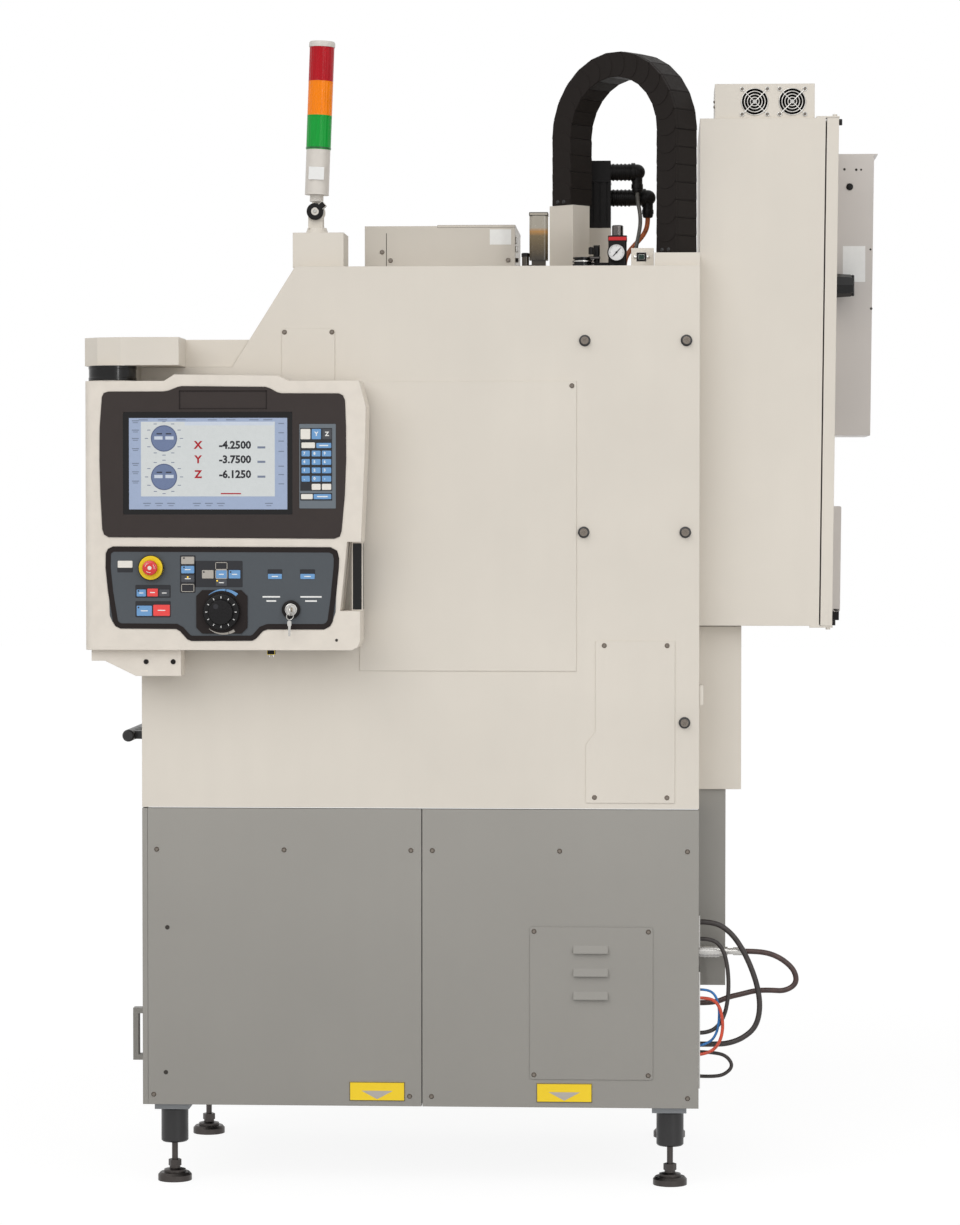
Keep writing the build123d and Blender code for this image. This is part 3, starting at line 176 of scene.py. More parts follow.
class Finish(Tree):
    """One material, with noise in its object's own metres."""

    def __init__(self, name):
        self.material = bpy.data.materials.new(name)
        super().__init__(self.material)
        self.shader = self.tree.nodes["Principled BSDF"]
        self.place = self.node("ShaderNodeTexCoord").outputs["Object"]

    def noise(self, size, detail=3.0, stretch=(1, 1, 1)):
        """Noise whose features are about a size across, in metres."""
        spread = self.node("ShaderNodeMapping", [("Vector", self.place)], Scale=stretch)
        made = self.node("ShaderNodeTexNoise", [("Vector", spread.outputs[0])], Scale=1 / size, Detail=detail)
        return made.outputs[0]

    def between(self, source, low, high, start=0.35, end=0.65):
        made = self.node("ShaderNodeMapRange", [("Value", source)])
        for socket, value in zip(made.inputs[1:5], (start, end, low, high)):
            socket.default_value = value
        return made.outputs[0]

    def mix(self, share, first, second):
        """A mix of two colours, each a colour or another node's output."""
        made = self.node("ShaderNodeMix", [("Factor", share)], data_type="RGBA")
        for socket, value in ((made.inputs[6], first), (made.inputs[7], second)):
            if isinstance(value, bpy.types.NodeSocket):
                self.tree.links.new(value, socket)
            else:
                socket.default_value = (*value, 1)
        return made.outputs[2]

    def height(self, part):
        """A coordinate of the place, in metres: 0 for x, 1 for y, 2 for z."""
        return self.node("ShaderNodeSeparateXYZ", [("Vector", self.place)]).outputs[part]

    def surface(self, base, roughness, metallic=0.0, **rest):
        for name, value in dict(rest, Metallic=metallic).items():
            self.shader.inputs[name].default_value = value
        for name, value in (("Base Color", base), ("Roughness", roughness)):
            if isinstance(value, bpy.types.NodeSocket):
                self.tree.links.new(value, self.shader.inputs[name])
            else:
                self.shader.inputs[name].default_value = (*value, 1) if name == "Base Color" else value

    def relief(self, source, strength, depth, soften=0.0):
        """Bump from a height, on edges that look rounded by a radius."""
        links = [("Height", source)]
        if soften:
            links.append(("Normal", self.node("ShaderNodeBevel", samples=4, Radius=soften).outputs[0]))
        made = self.node("ShaderNodeBump", links, Strength=strength, Distance=depth)
        self.tree.links.new(made.outputs[0], self.shader.inputs["Normal"])


def shade(values, factor):
    return [v * factor for v in values]


def painted(name, base, roughness=0.42, low_darkening=0.0):
    """Powder coat: fine orange peel, a faint mottle, and a darkening towards the bottom."""
    made = Finish(name)
    mottle = made.between(made.noise(0.35, 4), 0, 1)
    streaks = made.between(made.noise(0.05, 3, (1, 1, 0.12)), 0, 1)
    body = made.mix(mottle, shade(base, 0.965), shade(base, 1.02))
    body = made.mix(made.between(streaks, 0, 0.25, 0, 1), body, shade(base, 0.95))
    if low_darkening:
        # darker towards the bottom, from 0.95 m down to 0.15 m high
        low = made.between(made.height(2), low_darkening, 0, 0.15, 0.95)
        body = made.mix(low, body, shade(base, 0.66))
    peel = made.noise(0.0022, 2)
    made.surface(body, made.between(made.noise(0.02, 3), roughness - 0.05, roughness + 0.06))
    made.relief(peel, 0.10, 0.0004, sizes().edge_softness)
    return made.material


def skin(name, base, roughness, mottle, wear, grain, soften=0.0, brushed=(1, 1, 1), **rest):
    """A mottled colour, uneven gloss and a fine relief.

    mottle is a noise's size and detail with the darkest and lightest share of the colour, wear a noise with how far
    the roughness falls and rises, and grain a noise with the relief's strength and depth.
    """
    made = Finish(name)
    size, detail, dark, light = mottle
    body = made.mix(made.between(made.noise(size, detail), 0, 1), shade(base, dark), shade(base, light))
    size, detail, fall, rise = wear
    uneven = made.between(made.noise(size, detail, brushed), roughness - fall, roughness + rise)
    made.surface(body, uneven, **rest)
    size, detail, strength, depth = grain
    made.relief(made.noise(size, detail, brushed), strength, depth, soften)
    return made.material


def moulded(name, base, roughness, soften=0.0, mirror=0.5, coat=0.0):
    """Moulded plastic with a fine spark-eroded grain."""
    return skin(name, base, roughness, (0.03, 3, 0.97, 1.02), (0.006, 3, 0.06, 0.06), (0.0009, 2, 0.16, 0.0003),
                soften, **{"Specular IOR Level": mirror, "Coat Weight": coat})


def metal(name, base, roughness, brushed=(1, 1, 1)):
    """Bare metal with brushing along one direction."""
    return skin(name, base, roughness, (0.04, 3, 0.88, 1), (0.0012, 3, 0.07, 0.1), (0.0012, 3, 0.12, 0.0002),
                brushed=brushed, metallic=1.0)


def cast(name, base):
    """Painted casting: a coarse sandy skin."""
    return skin(name, base, 0.55, (0.05, 5, 0.8, 1.1), (0.01, 3, 0.1, 0.1), (0.003, 4, 0.35, 0.0008),
                sizes().edge_softness)


def rubber(name, base, roughness=0.45):
    """A cable's or hose's sheath, scuffed along its length."""
    return skin(name, base, roughness, (0.012, 4, 0.75, 1.35), (0.004, 3, 0.08, 0.12), (0.0015, 3, 0.2, 0.0002))


def lens(name, base):
    """Translucent coloured plastic, lit a little from within."""
    made = Finish(name)
    body = made.mix(made.between(made.noise(0.004, 2, (1, 1, 0.1)), 0, 0.3), base, shade(base, 1.4))
    made.surface(body, made.between(made.noise(0.01, 2), 0.14, 0.22), **{
        "Specular IOR Level": 0.2, "Emission Color": (*base, 1), "Emission Strength": 0.12})
    made.relief(made.noise(0.003, 2), 0.05, 0.0002)
    return made.material


def film(name, base, roughness=0.4, glow=0.0):
    """A printed key, film or picture on a panel."""
    return skin(name, base, roughness, (0.01, 3, 0.985, 1.01), (0.003, 2, 0.04, 0.05), (0.0012, 2, 0.05, 0.0001),
                **{"Specular IOR Level": 0.3, "Emission Color": (*base, 1), "Emission Strength": glow})


def clear(name, base):
    """Window plastic."""
    return skin(name, base, 0.04, (0.2, 2, 1, 0.96), (0.05, 3, 0, 0.05), (0.06, 2, 0.02, 0.0004),
                **{"Transmission Weight": 0.92, "IOR": 1.49})


def cover_coat(name, base):
    """The roof cover's powder coat, a little darker than the cabinet's."""
    return painted(name, shade(base, 0.86), 0.36)


def oil_plastic(name, base):
    """The bottle: clear milky plastic above, dark oil below a level that is darker towards the bottom, with a painted
    orange glow of light through the oil just under the level.
    """
    made = Finish(name)
    level = made.between(made.height(2), 0, 1, 2.104, 2.112)
    # the oil is darker towards the bottom
    depth = made.between(made.height(2), 0, 1, 2.045, 2.10)
    oil = made.mix(depth, from_screen(58, 50, 38), from_screen(124, 106, 74))
    # painted orange glow of light through the oil, in a band just under its level
    oil = made.mix(made.between(made.height(2), 0, 0.7, 2.094, 2.103), oil, from_screen(196, 140, 70))
    body = made.mix(level, oil, base)
    made.surface(body, made.between(made.noise(0.01, 2), 0.18, 0.28), **{"Transmission Weight": 0.12})
    made.relief(made.noise(0.004, 2), 0.06, 0.0002)
    return made.material


# Each finish by what makes it: a setting or a colour as it looks on a screen, then the maker's other values in order
FINISHES = {
    painted: {
        "cabinet paint": ["cabinet_paint"],
        "skirt paint": ["skirt_paint", 0.45, 0.5],
        "lift yellow": ["lift_yellow", 0.4],
        "bare sheet": [(203, 197, 192), 0.34],
        "black steel": [(26, 25, 26), 0.36],
    },
    cover_coat: {"cover paint": ["cabinet_paint"]},
    metal: {
        "bolt steel": [(128, 120, 112), 0.3],
        "knob chrome": [(96, 92, 90), 0.2],
        "bright steel": [(196, 194, 190), 0.26],
        "ground steel": [(186, 188, 190), 0.3, (1, 1, 0.05)],
        "brass": [(208, 176, 104), 0.28],
        "foot steel": [(78, 74, 72), 0.38],
    },
    moulded: {
        "gloss black": [(16, 15, 15), 0.13, 0, 0.3],
        "console shell": ["console_shell", 0.45, 0.002],
        "bezel": ["bezel", 0.42, 0.0015, 0.2],
        "panel border": [(36, 30, 29), 0.4, 0, 0.15],
        "stop yellow": ["stop_yellow", 0.32],
        "stop red": ["stop_red", 0.25, 0, 0.5, 0.3],
        "black plastic": [(24, 22, 22), 0.38, 0.0006, 0.15],
        "dial plastic": [(22, 21, 22), 0.3, 0.0006, 0.2],
        "chain plastic": ["chain_plastic", 0.5, 0.0008, 0.08],
        "drive plastic": [(52, 52, 56), 0.5, 0.001],
        "lens rim": [(8, 84, 36), 0.3],
        "lamp grey": [(214, 208, 200), 0.4, 0.001],
    },
    film: {
        "panel film": ["panel_film", 0.38],
        "panel ink": [(40, 41, 45), 0.35],
        "keypad film": [(106, 114, 121), 0.38],
        "key blue": ["key_blue"],
        "key red": ["key_red"],
        "key pale": ["key_pale"],
        "key grey": [(178, 172, 164)],
        "key dark": [(72, 74, 79)],
        "print white": [(236, 236, 234)],
        "print dark": [(38, 38, 42)],
        "led": [(245, 205, 60), 0.3, 0.5],
        "screen black": [(14, 13, 14), 0.12],
        "screen blue": [(158, 172, 198), 0.3, 0.04],
        "screen field": [(208, 212, 212), 0.3, 0.03],
        "screen band": [(200, 208, 220), 0.3, 0.04],
        "screen globe": [(108, 122, 154), 0.3, 0.04],
        "screen globe dark": [(82, 94, 126), 0.3, 0.04],
        "screen ink": [(36, 36, 42), 0.3],
        "screen soft ink": [(120, 130, 150), 0.3],
        "screen red": [(168, 20, 34), 0.3],
        "gauge face": [(226, 226, 226), 0.3],
        "socket green": [(22, 46, 38)],
        "band red": [(198, 40, 44), 0.35],
        "shadow gap": [(58, 54, 50), 0.7],
    },
    lens: {"lens red": ["lens_red"], "lens amber": ["lens_amber"], "lens green": ["lens_green"]},
    rubber: {
        "cable black": [(44, 38, 36)],
        "hose brown": [(62, 42, 38), 0.38],
        "cable grey": [(86, 84, 80)],
        "cable orange": [(178, 92, 44)],
        "tube blue": [(32, 104, 168), 0.3],
        "tube red": [(190, 66, 38), 0.3],
    },
    cast: {"casting": [(128, 131, 132)]},
    clear: {"window": [(214, 222, 222)]},
    oil_plastic: {"oil plastic": [(170, 163, 150)]},
}


def material(name):
    """The material of a finish, made when it is first asked for."""
    made = bpy.data.materials.get(name)
    if not made:
        maker = next(kind for kind, rows in FINISHES.items() if name in rows)
        base, *values = FINISHES[maker][name]
        base = linear(getattr(colours(), base)) if isinstance(base, str) else from_screen(*base)
        made = maker(name, base, *values)
    return made


# Meshes

BLACK, STEEL = "black plastic", "bright steel"
BEVEL_STEPS = 2
SHARP_ANGLE = 38                               # degrees between faces, above which an edge looks sharp
SAME_PLACE = 0.001                             # millimetres within which corners become one
LETTER_SIZE, LETTER_WEIGHT = 1.38, 0.05        # the font's size and its outline's offset, to a figure's height
LETTER_DEPTH = 0.15
ON_FACE = Matrix.Rotation(pi / 2, 4, "X")      # a thing drawn flat, facing the machine's right side
ON_SIDE = Matrix.Rotation(pi / 2, 4, "Y")      # a turned thing, along x


def spot(x, y, z, turned=Matrix.Identity(4)):
    return Matrix.Translation((x, y, z)) @ turned


def facing(x, y, z):
    """A place whose own z axis looks to the machine's right side."""
    return spot(x, y, z, ON_FACE)


def turn(axis, degrees):
    return Matrix.Rotation(radians(degrees), 4, axis)


def circle(radius, steps, centre=(0, 0)):
    """A circle's corners."""
    x, y = centre
    return [(x + radius * cos(2 * pi * k / steps), y + radius * sin(2 * pi * k / steps)) for k in range(steps)]


class Shape:
    """A mesh in the making, in the machine's millimetres, with a finish for each face."""

    def __init__(self):
        self.mesh = bmesh.new()
        self.finishes = []

    def add(self, points, faces, finish, bevel=0.0, place=Matrix.Identity(4)):
        if finish not in self.finishes:
            self.finishes.append(finish)
        corners = [self.mesh.verts.new(place @ Vector(p)) for p in points]
        made = [self.mesh.faces.new([corners[i] for i in face]) for face in faces]
        for face in made:
            face.material_index = self.finishes.index(finish)
        if bevel:
            edges = list({edge for face in made for edge in face.edges})
            bmesh.ops.bevel(self.mesh, geom=edges, offset=bevel, segments=BEVEL_STEPS, profile=0.5,
                            affect="EDGES", clamp_overlap=True)
        return self

    def loft(self, rows, finish, bevel=0.0, place=Matrix.Identity(4)):
        """Loops of as many corners each, joined in order and closed at both ends."""
        n = len(rows[0])
        points = [point for row in rows for point in row]
        faces = [tuple(reversed(range(n))), tuple(range(len(points) - n, len(points)))]
        for low in range(0, len(points) - n, n):
            faces += [(low + i, low + (i + 1) % n, low + n + (i + 1) % n, low + n + i) for i in range(n)]
        return self.add(points, faces, finish, bevel, place)

    def slab(self, outline, low, high, finish, bevel=0.0, place=Matrix.Identity(4)):
        """A flat outline, thick from low to high."""
        return self.loft([[(a, b, h) for a, b in outline] for h in (low, high)], finish, bevel, place)

    def block(self, x, y, z, finish, bevel=0.0, place=Matrix.Identity(4)):
        """A block between pairs of coordinates."""
        (x0, x1), (y0, y1) = x, y
        return self.slab([(x0, y0), (x1, y0), (x1, y1), (x0, y1)], *z, finish, bevel, place)

    def border(self, x0, x1, z0, z1, width, depth, finish):
        """A rectangle's border on a face that looks to the right side, between two depths."""
        for x, z in (((x0, x1), (z0, z0 + width)), ((x0, x1), (z1 - width, z1)),
                     ((x0, x0 + width), (z0, z1)), ((x1 - width, x1), (z0, z1))):
            self.block(x, depth, z, finish)

    def sheet(self, outline, low, high, finish, face):
        """A flat outline on a face that looks to the right side, from low to high in front of it."""
        return self.slab(outline, low, high, finish, 0.0, facing(0, face, 0))

    def turned(self, profile, finish, place=Matrix.Identity(4), steps=32):
        """A profile of radius and height turned about its own z."""
        points, faces, rows = [], [], []
        for r, h in profile:
            if r < 1e-6:
                rows.append([len(points)] * steps)
                points.append((0, 0, h))
            else:
                rows.append(list(range(len(points), len(points) + steps)))
                points += [(x, y, h) for x, y in circle(r, steps)]
        for low, high in zip(rows, rows[1:]):
            for k in range(steps):
                corners = dict.fromkeys((low[k], low[(k + 1) % steps], high[(k + 1) % steps], high[k]))
                if len(corners) > 2:
                    faces.append(tuple(corners))
        return self.add(points, faces, finish, 0.0, place)

    def disc(self, radius, low, high, finish, place, steps=16):
        """A round wall from low to high, closed at high."""
        return self.turned([(radius, low), (radius, high), (0, high)], finish, place, steps)

    def cap(self, radius, wall, top, shoulder, height, finish, place, steps=16):
        """A screw head or lid: a round wall, a slope to a smaller top, and the height at its middle."""
        return self.turned([(radius, 0), (radius, wall), (top, shoulder), (0, height)], finish, place, steps)

    def ring(self, radius, wire, finish, place, steps=40):
        """A ring of round wire."""
        profile = circle(wire, 8, (radius, 0))
        return self.turned(profile + profile[:1], finish, place, steps)

    def wire(self, points, radius, finish, steps=8):
        """Round wire along a few points."""
        points = [Vector(p) for p in points]
        rows = []
        for k, point in enumerate(points):
            along = (points[min(k + 1, len(points) - 1)] - points[max(k - 1, 0)]).normalized()
            side = along.orthogonal().normalized() if k == 0 else (side - side.project(along)).normalized()
            other = along.cross(side)
            rows.append([point + side * a + other * b for a, b in circle(radius, steps)])
        return self.loft(rows, finish)

    def words(self, text, x, z, height, finish, face):
        """Plain figures or letters, centred at a place on a face that looks to the right side."""
        curve = bpy.data.curves.new("figures", "FONT")
        curve.body, curve.size, curve.align_x, curve.align_y = text, height * LETTER_SIZE, "CENTER", "CENTER"
        curve.resolution_u, curve.extrude, curve.offset = 2, LETTER_DEPTH, height * LETTER_WEIGHT
        holder = bpy.data.objects.new("figures", curve)
        bpy.context.scene.collection.objects.link(holder)
        bpy.context.view_layer.update()
        flat = holder.evaluated_get(bpy.context.evaluated_depsgraph_get()).to_mesh()
        points = [tuple(v.co) for v in flat.vertices]
        faces = [tuple(p.vertices) for p in flat.polygons]
        bpy.data.objects.remove(holder)
        bpy.data.curves.remove(curve)
        return self.add(points, faces, finish, 0.0, facing(x, face, z))

    def piece(self, name, body, slot, replaces=()):
        """The finished object, which rides on a body and may stand for CAD nodes."""
        bmesh.ops.remove_doubles(self.mesh, verts=self.mesh.verts, dist=SAME_PLACE)
        bmesh.ops.recalc_face_normals(self.mesh, faces=self.mesh.faces)
        self.mesh.transform(TO_FRAME)
        data = bpy.data.meshes.new(name)
        self.mesh.to_mesh(data)
        self.mesh.free()
        for finish in self.finishes:
            data.materials.append(material(finish))
        data.shade_smooth()
        data.set_sharp_from_angle(angle=radians(SHARP_ANGLE))
        made = bpy.data.objects.new(name, data)
        bpy.context.scene.collection.objects.link(made)
        made.modifiers.new("even normals", "WEIGHTED_NORMAL").keep_sharp = True
        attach(made, body)
        if replaces:
            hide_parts(*replaces)
        return made


def rounded(x0, x1, z0, z1, r, steps=4):
    """A rectangle's outline with rounded corners."""
    out = []
    for cx, cz, start in ((x1 - r, z1 - r, 0), (x0 + r, z1 - r, 90), (x0 + r, z0 + r, 180), (x1 - r, z0 + r, 270)):
        out += [(cx + r * cos(radians(start + 90 * k / steps)), cz + r * sin(radians(start + 90 * k / steps)))
                for k in range(steps + 1)]
    return out


# Stage

CAMERA_PLACE = (526.252, -8222.692, 1497.443)
CAMERA_TURN, CAMERA_DIP = 2.881, 1.69
FLOOR_GLOW = 1.12


def stage_surface(name, pale, shadow_keeps):
    """A surface that shows as plain white where it is lit, and keeps the object's shadow."""
    made = bpy.data.materials.new(name)
    tree = Tree(made)
    tree.tree.nodes.clear()
    matt = tree.node("ShaderNodeBsdfDiffuse", Color=(pale, pale, pale, 1)).outputs[0]
    glow = tree.node("ShaderNodeEmission", Color=(1, 1, 1, 1), Strength=FLOOR_GLOW).outputs[0]
    white = tree.node("ShaderNodeMixShader", [(1, matt), (2, glow)], Fac=1 - shadow_keeps).outputs[0]
    tree.show("ShaderNodeOutputMaterial", matt, white)
    return made


def white_world(strength):
    """Even light, and plain white where the camera or a reflection looks past the object."""
    world = bpy.data.worlds.new("studio")
    tree = Tree(world)
    tree.tree.nodes.clear()
    even = tree.node("ShaderNodeBackground", Color=(1.0, 0.995, 0.985, 1), Strength=strength).outputs[0]
    white = tree.node("ShaderNodeBackground", Color=(1, 1, 1, 1), Strength=1).outputs[0]
    tree.show("ShaderNodeOutputWorld", even, white)
    bpy.context.scene.world = world


def soft_lamp(name, strength, width, tilt, turn):
    """A broad far lamp: a face square to it gets that strength."""
    data = bpy.data.lights.new(name, "SUN")
    data.energy, data.angle = strength * pi, radians(width)
    lamp = bpy.data.objects.new(name, data)
    lamp.rotation_euler = (radians(tilt), 0, radians(turn))
    bpy.context.scene.collection.objects.link(lamp)


def soft_box(name, place, target, width, height, power):
    """An upright soft box, which glossy round things show as a bright streak."""
    data = bpy.data.lights.new(name, "AREA")
    data.shape, data.size, data.size_y, data.energy = "RECTANGLE", width, height, power
    lamp = bpy.data.objects.new(name, data)
    lamp.location = TO_FRAME @ Vector(place)
    aim = TO_FRAME @ Vector(target) - lamp.location
    lamp.rotation_euler = aim.to_track_quat("-Z", "Y").to_euler()
    bpy.context.scene.collection.objects.link(lamp)


class MACHINE_OT_stage(bpy.types.Operator):
    """Set the camera, the lamps and the pale floor"""
    bl_idname = "machine.stage"
    bl_label = "Stage"

    def execute(self, context):
        settings = context.scene.machine_stage
        data = bpy.data.cameras.new("camera")
        data.sensor_fit, data.sensor_height, data.lens = "VERTICAL", 36.0, settings.lens
        data.clip_end = 200
        camera = bpy.data.objects.new("camera", data)
        camera.location = TO_FRAME @ Vector(CAMERA_PLACE)
        camera.rotation_euler = (radians(90 - CAMERA_DIP), 0, radians(CAMERA_TURN))
        context.scene.collection.objects.link(camera)
        context.scene.camera = camera
        context.scene.view_settings.view_transform = "Standard"
        white_world(settings.sky)
        soft_lamp("key light", settings.key_light, 50, 55, -28)
        soft_lamp("fill light", settings.fill_light, 60, 62, 38)
        soft_box("right soft box", (3600, -6400, 1900), (0, -300, 1700), 0.5, 3.2, settings.soft_box)
        bpy.ops.mesh.primitive_plane_add(size=60)
        floor = context.object
        floor.name = "floor"
        floor.data.materials.append(stage_surface("floor", 0.8, 0.2))
        return {"FINISHED"}


# Cords. Each route is the cord's own, from its gland to where it goes in, as the CAD tube runs.

HOSE_END, PLATE = 712.2, 613.2

CORDS = {
    "air_hose": (12.0, 370, "hose brown", "stiff", [
        (HOSE_END, -300, 517), (740, -300, 517), (770, -300, 512), (798, -299, 498), (822, -298, 475),
        (827, -297, 446), (801, -296, 429), (768, -296, 431), (736, -296, 430), (706, -296, 422),
        (676, -296, 415), (646, -296, 402), (PLATE, -296, 402)]),
    "upper_cable": (12.0, 431, "cable black", "medium", [
        (PLATE, -322, 584), (648, -322, 584), (682, -322, 560), (706, -322, 526), (726, -322, 484),
        (741, -322, 438), (746, -322, 392), (736, -322, 352), (708, -322, 328), (676, -322, 316),
        (646, -322, 314), (PLATE, -322, 314)]),
    "short_cable": (9.0, 277, "cable black", "medium", [
        (PLATE, -340, 549), (640, -340, 549), (662, -341, 530), (672, -341, 498), (676, -341, 460),
        (675, -341, 420), (668, -341, 382), (650, -341, 352), (626, -341, 342), (PLATE, -341, 342)]),
    "low_cable": (8.0, 165, "cable black", "limp", [
        (PLATE, -276, 236), (640, -276, 235), (668, -276, 239), (688, -276, 259), (673, -276, 282),
        (645, -276, 289), (PLATE, -276, 290)]),
    "blue_tube": (5.6, 170, "tube blue", "medium", [
        (PLATE, -355, 439), (632, -355, 439), (648, -355, 426), (655, -355, 400), (655, -355, 371),
        (650, -355, 343), (635, -355, 322), (PLATE, -355, 316)]),
    "red_tube": (7.2, 182, "tube red", "medium", [
        (PLATE, -366, 422), (636, -366, 422), (654, -366, 408), (662, -366, 380), (663, -366, 350),
        (655, -366, 322), (636, -366, 302), (PLATE, -366, 298)]),
    "motor_cable": (9.0, 208, "cable grey", "medium", [
        (471, -22, 2214), (471, -22, 2194), (477, -28, 2168), (479, -42, 2140), (475, -60, 2112),
        (469, -76, 2082), (466, -82, 2052), (466, -82, ROOF)]),
    "encoder_cable": (11.0, 155, "cable orange", "medium", [
        (495, 16, 2159), (495, 16, 2138), (486, 12, 2117), (470, 6, 2098), (452, 2, 2078),
        (441, -1, 2054), (441, -1, ROOF)]),
}


class MACHINE_OT_cords(bpy.types.Operator):
    """Lay the cables and hoses along their routes"""
    bl_idname = "machine.cords"
    bl_label = "Cords"

    def execute(self, context):
        for node, (diameter, length, finish, stiffness, route) in CORDS.items():
            curve = bpy.data.curves.new(node + "_sheath", "CURVE")
            curve.dimensions, curve.bevel_depth, curve.bevel_resolution = "3D", diameter / 2 * MM, 4
            curve.use_fill_caps, curve.resolution_u = True, 12
            line = curve.splines.new("NURBS")
            line.points.add(len(route) - 1)
            for point, place in zip(line.points, route):
                point.co = (*(TO_FRAME @ Vector(place)), 1)
            line.order_u, line.use_endpoint_u = 3, True
            curve.materials.append(material(finish))
            sheath = bpy.data.objects.new(node + "_sheath", curve)
            context.scene.collection.objects.link(sheath)
            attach(sheath, "frame")
            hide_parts(node)
        return {"FINISHED"}


# Materials of the CAD nodes that stay

NODE_FINISH = {
    "cabinet paint": ["upper_enclosure", "side_covers", "door_panel", "console_arm", "cabinet_shell", "cabinet_door",
                      "fan_box", "rear_duct", "stack_base", "roof_brackets", "socket_box"],
    "cover paint": ["motor_cover"],
    "skirt paint": ["louvred_cover", "skirt_panels", "front_panel", "coolant_drawer", "pump_box"],
    "lift yellow": ["lift_plates"],
    "bright steel": ["air_coupling", "key_switch"],
    "bolt steel": ["panel_screws"],
    "black steel": ["leg_sleeves", "door_handle"],
    "foot steel": ["levelling_feet"],
    "casting": ["base_casting", "column_casting", "saddle", "table", "spindle_head"],
    "ground steel": ["guide_rails", "spindle", "saddle_screw", "table_screw", "head_screw"],
    "black plastic": ["servo_motors", "air_regulator", "disconnect_knob", "left_fan", "right_fan"],
    "knob chrome": ["regulator_knob"],
    "drive plastic": ["cabinet_drives"],
    "dial plastic": ["jog_dial"],
    "bare sheet": ["door_boxes"],
    "window": ["door_window"],
    "console shell": ["console_shell"],
    "bezel": ["screen_panel"],
    "panel border": ["control_panel"],
    "stop red": ["emergency_stop"],
    "lamp grey": ["stack_housing"],
    "oil plastic": ["oil_bottle"],
    "chain plastic": ["drag_chain"],
    "lens amber": ["stack_tiers"],
}


class MACHINE_OT_cad_finishes(bpy.types.Operator):
    """Give each CAD node that stays in view its finish"""
    bl_idname = "machine.cad_finishes"
    bl_label = "Finishes of the frame"

    def execute(self, context):
        for finish, nodes in NODE_FINISH.items():
            for node in nodes:
                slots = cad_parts[node].data.materials
                slots.clear()
                slots.append(material(finish))
        return {"FINISHED"}


# Console

SCREEN = (-634.0, -267.0, 1480.0, 1701.0)
PICTURE = (-621.0, -278.0, 1491.0, 1688.0)
SCREEN_GLASS = -500.0
STOP_X, STOP_Z = -573, 1365
DIAL_X, DIAL_Z = -420, 1270
LOCK_X, LOCK_Z = -270, 1275


def key(shape, x0, x1, z0, z1, finish, face):
    """A pressed key with soft edges."""
    high, inset, crown = sizes().key_height / MM, 0.7, 0.25
    shape.sheet(rounded(x0, x1, z0, z1, min(1.6, (z1 - z0) / 4), 2), 0, high, finish, face)
    inner = rounded(x0 + inset, x1 - inset, z0 + inset, z1 - inset, 1.2, 2)
    shape.sheet(inner, high, high + crown, finish, face)


def dash(shape, x, z, width, height, finish, face, proud=0.15):
    """A short bar that stands for a line of small print."""
    shape.block((x - width / 2, x + width / 2), (face - proud, face), (z - height / 2, z + height / 2), finish)


def screen_picture(shape):
    """The lit picture: side bars, two round dials of the axes, and three rows of figures."""
    x0, x1, z0, z1 = PICTURE
    shape.sheet(rounded(*SCREEN, 5), 0, 1.2, "screen black", SCREEN_GLASS)
    front = SCREEN_GLASS - 1.2
    edge, face = front - 0.1, front - 0.2
    shape.block((x0, x1), (edge, front), (z0, z1), "screen blue")
    shape.block((-595, -305), (face, front), (1519, z1 - 8), "screen field")
    shape.block((-500, -307), (front - 0.25, front), (1672, 1680), "screen band")
    for z in (1644.0, 1561.0):
        x, globe = -545, facing(-545, face, z)
        shape.disc(28.5, 0, 0.2, "screen globe dark", globe, 32)
        shape.disc(26.5, 0.2, 0.35, "screen globe", globe, 32)
        for side in (-1, 1):
            dash(shape, x + side * 12, z + 1, 18, 7, "screen band", face - 0.35)
            dash(shape, x + side * 10, z + 10, 12, 2.4, "screen ink", face - 0.4)
        for k in range(12):
            a = radians(30 * k)
            dash(shape, x + 38 * cos(a), z + 36 * sin(a), 7, 1.6, "screen soft ink", face)
    for letter, figures, z in (("X", "-4.2500", 1629), ("Y", "-3.7500", 1598), ("Z", "-6.1250", 1566)):
        shape.words(letter, -471, z, 16.5, "screen red", face)
        shape.words(figures, -391, z, 16.5, "screen ink", face)
        dash(shape, -334, z - 4.5, 17, 4.5, "screen soft ink", face)
    dash(shape, -400, 1525, 44, 2.6, "screen red", face)
    for z in (1682, 1662, 1644, 1622, 1590, 1572, 1552):
        for x, low, width, height in ((-607, 0, 15, 2.0), (-607, 4, 11, 1.6), (-291, 6, 12, 2.0)):
            dash(shape, x, z - low, width, height, "screen soft ink", edge)
    for x in (-582, -556, -530, -474, -448, -422, -318):
        dash(shape, x, 1504, 17, 2.2, "screen soft ink", edge)
        dash(shape, x, 1499, 11, 1.6, "screen soft ink", edge)
    for x in (-590, -548, -508, -440, -400, -350, -320):
        dash(shape, x, 1684, 20, 1.8, "screen soft ink", face)


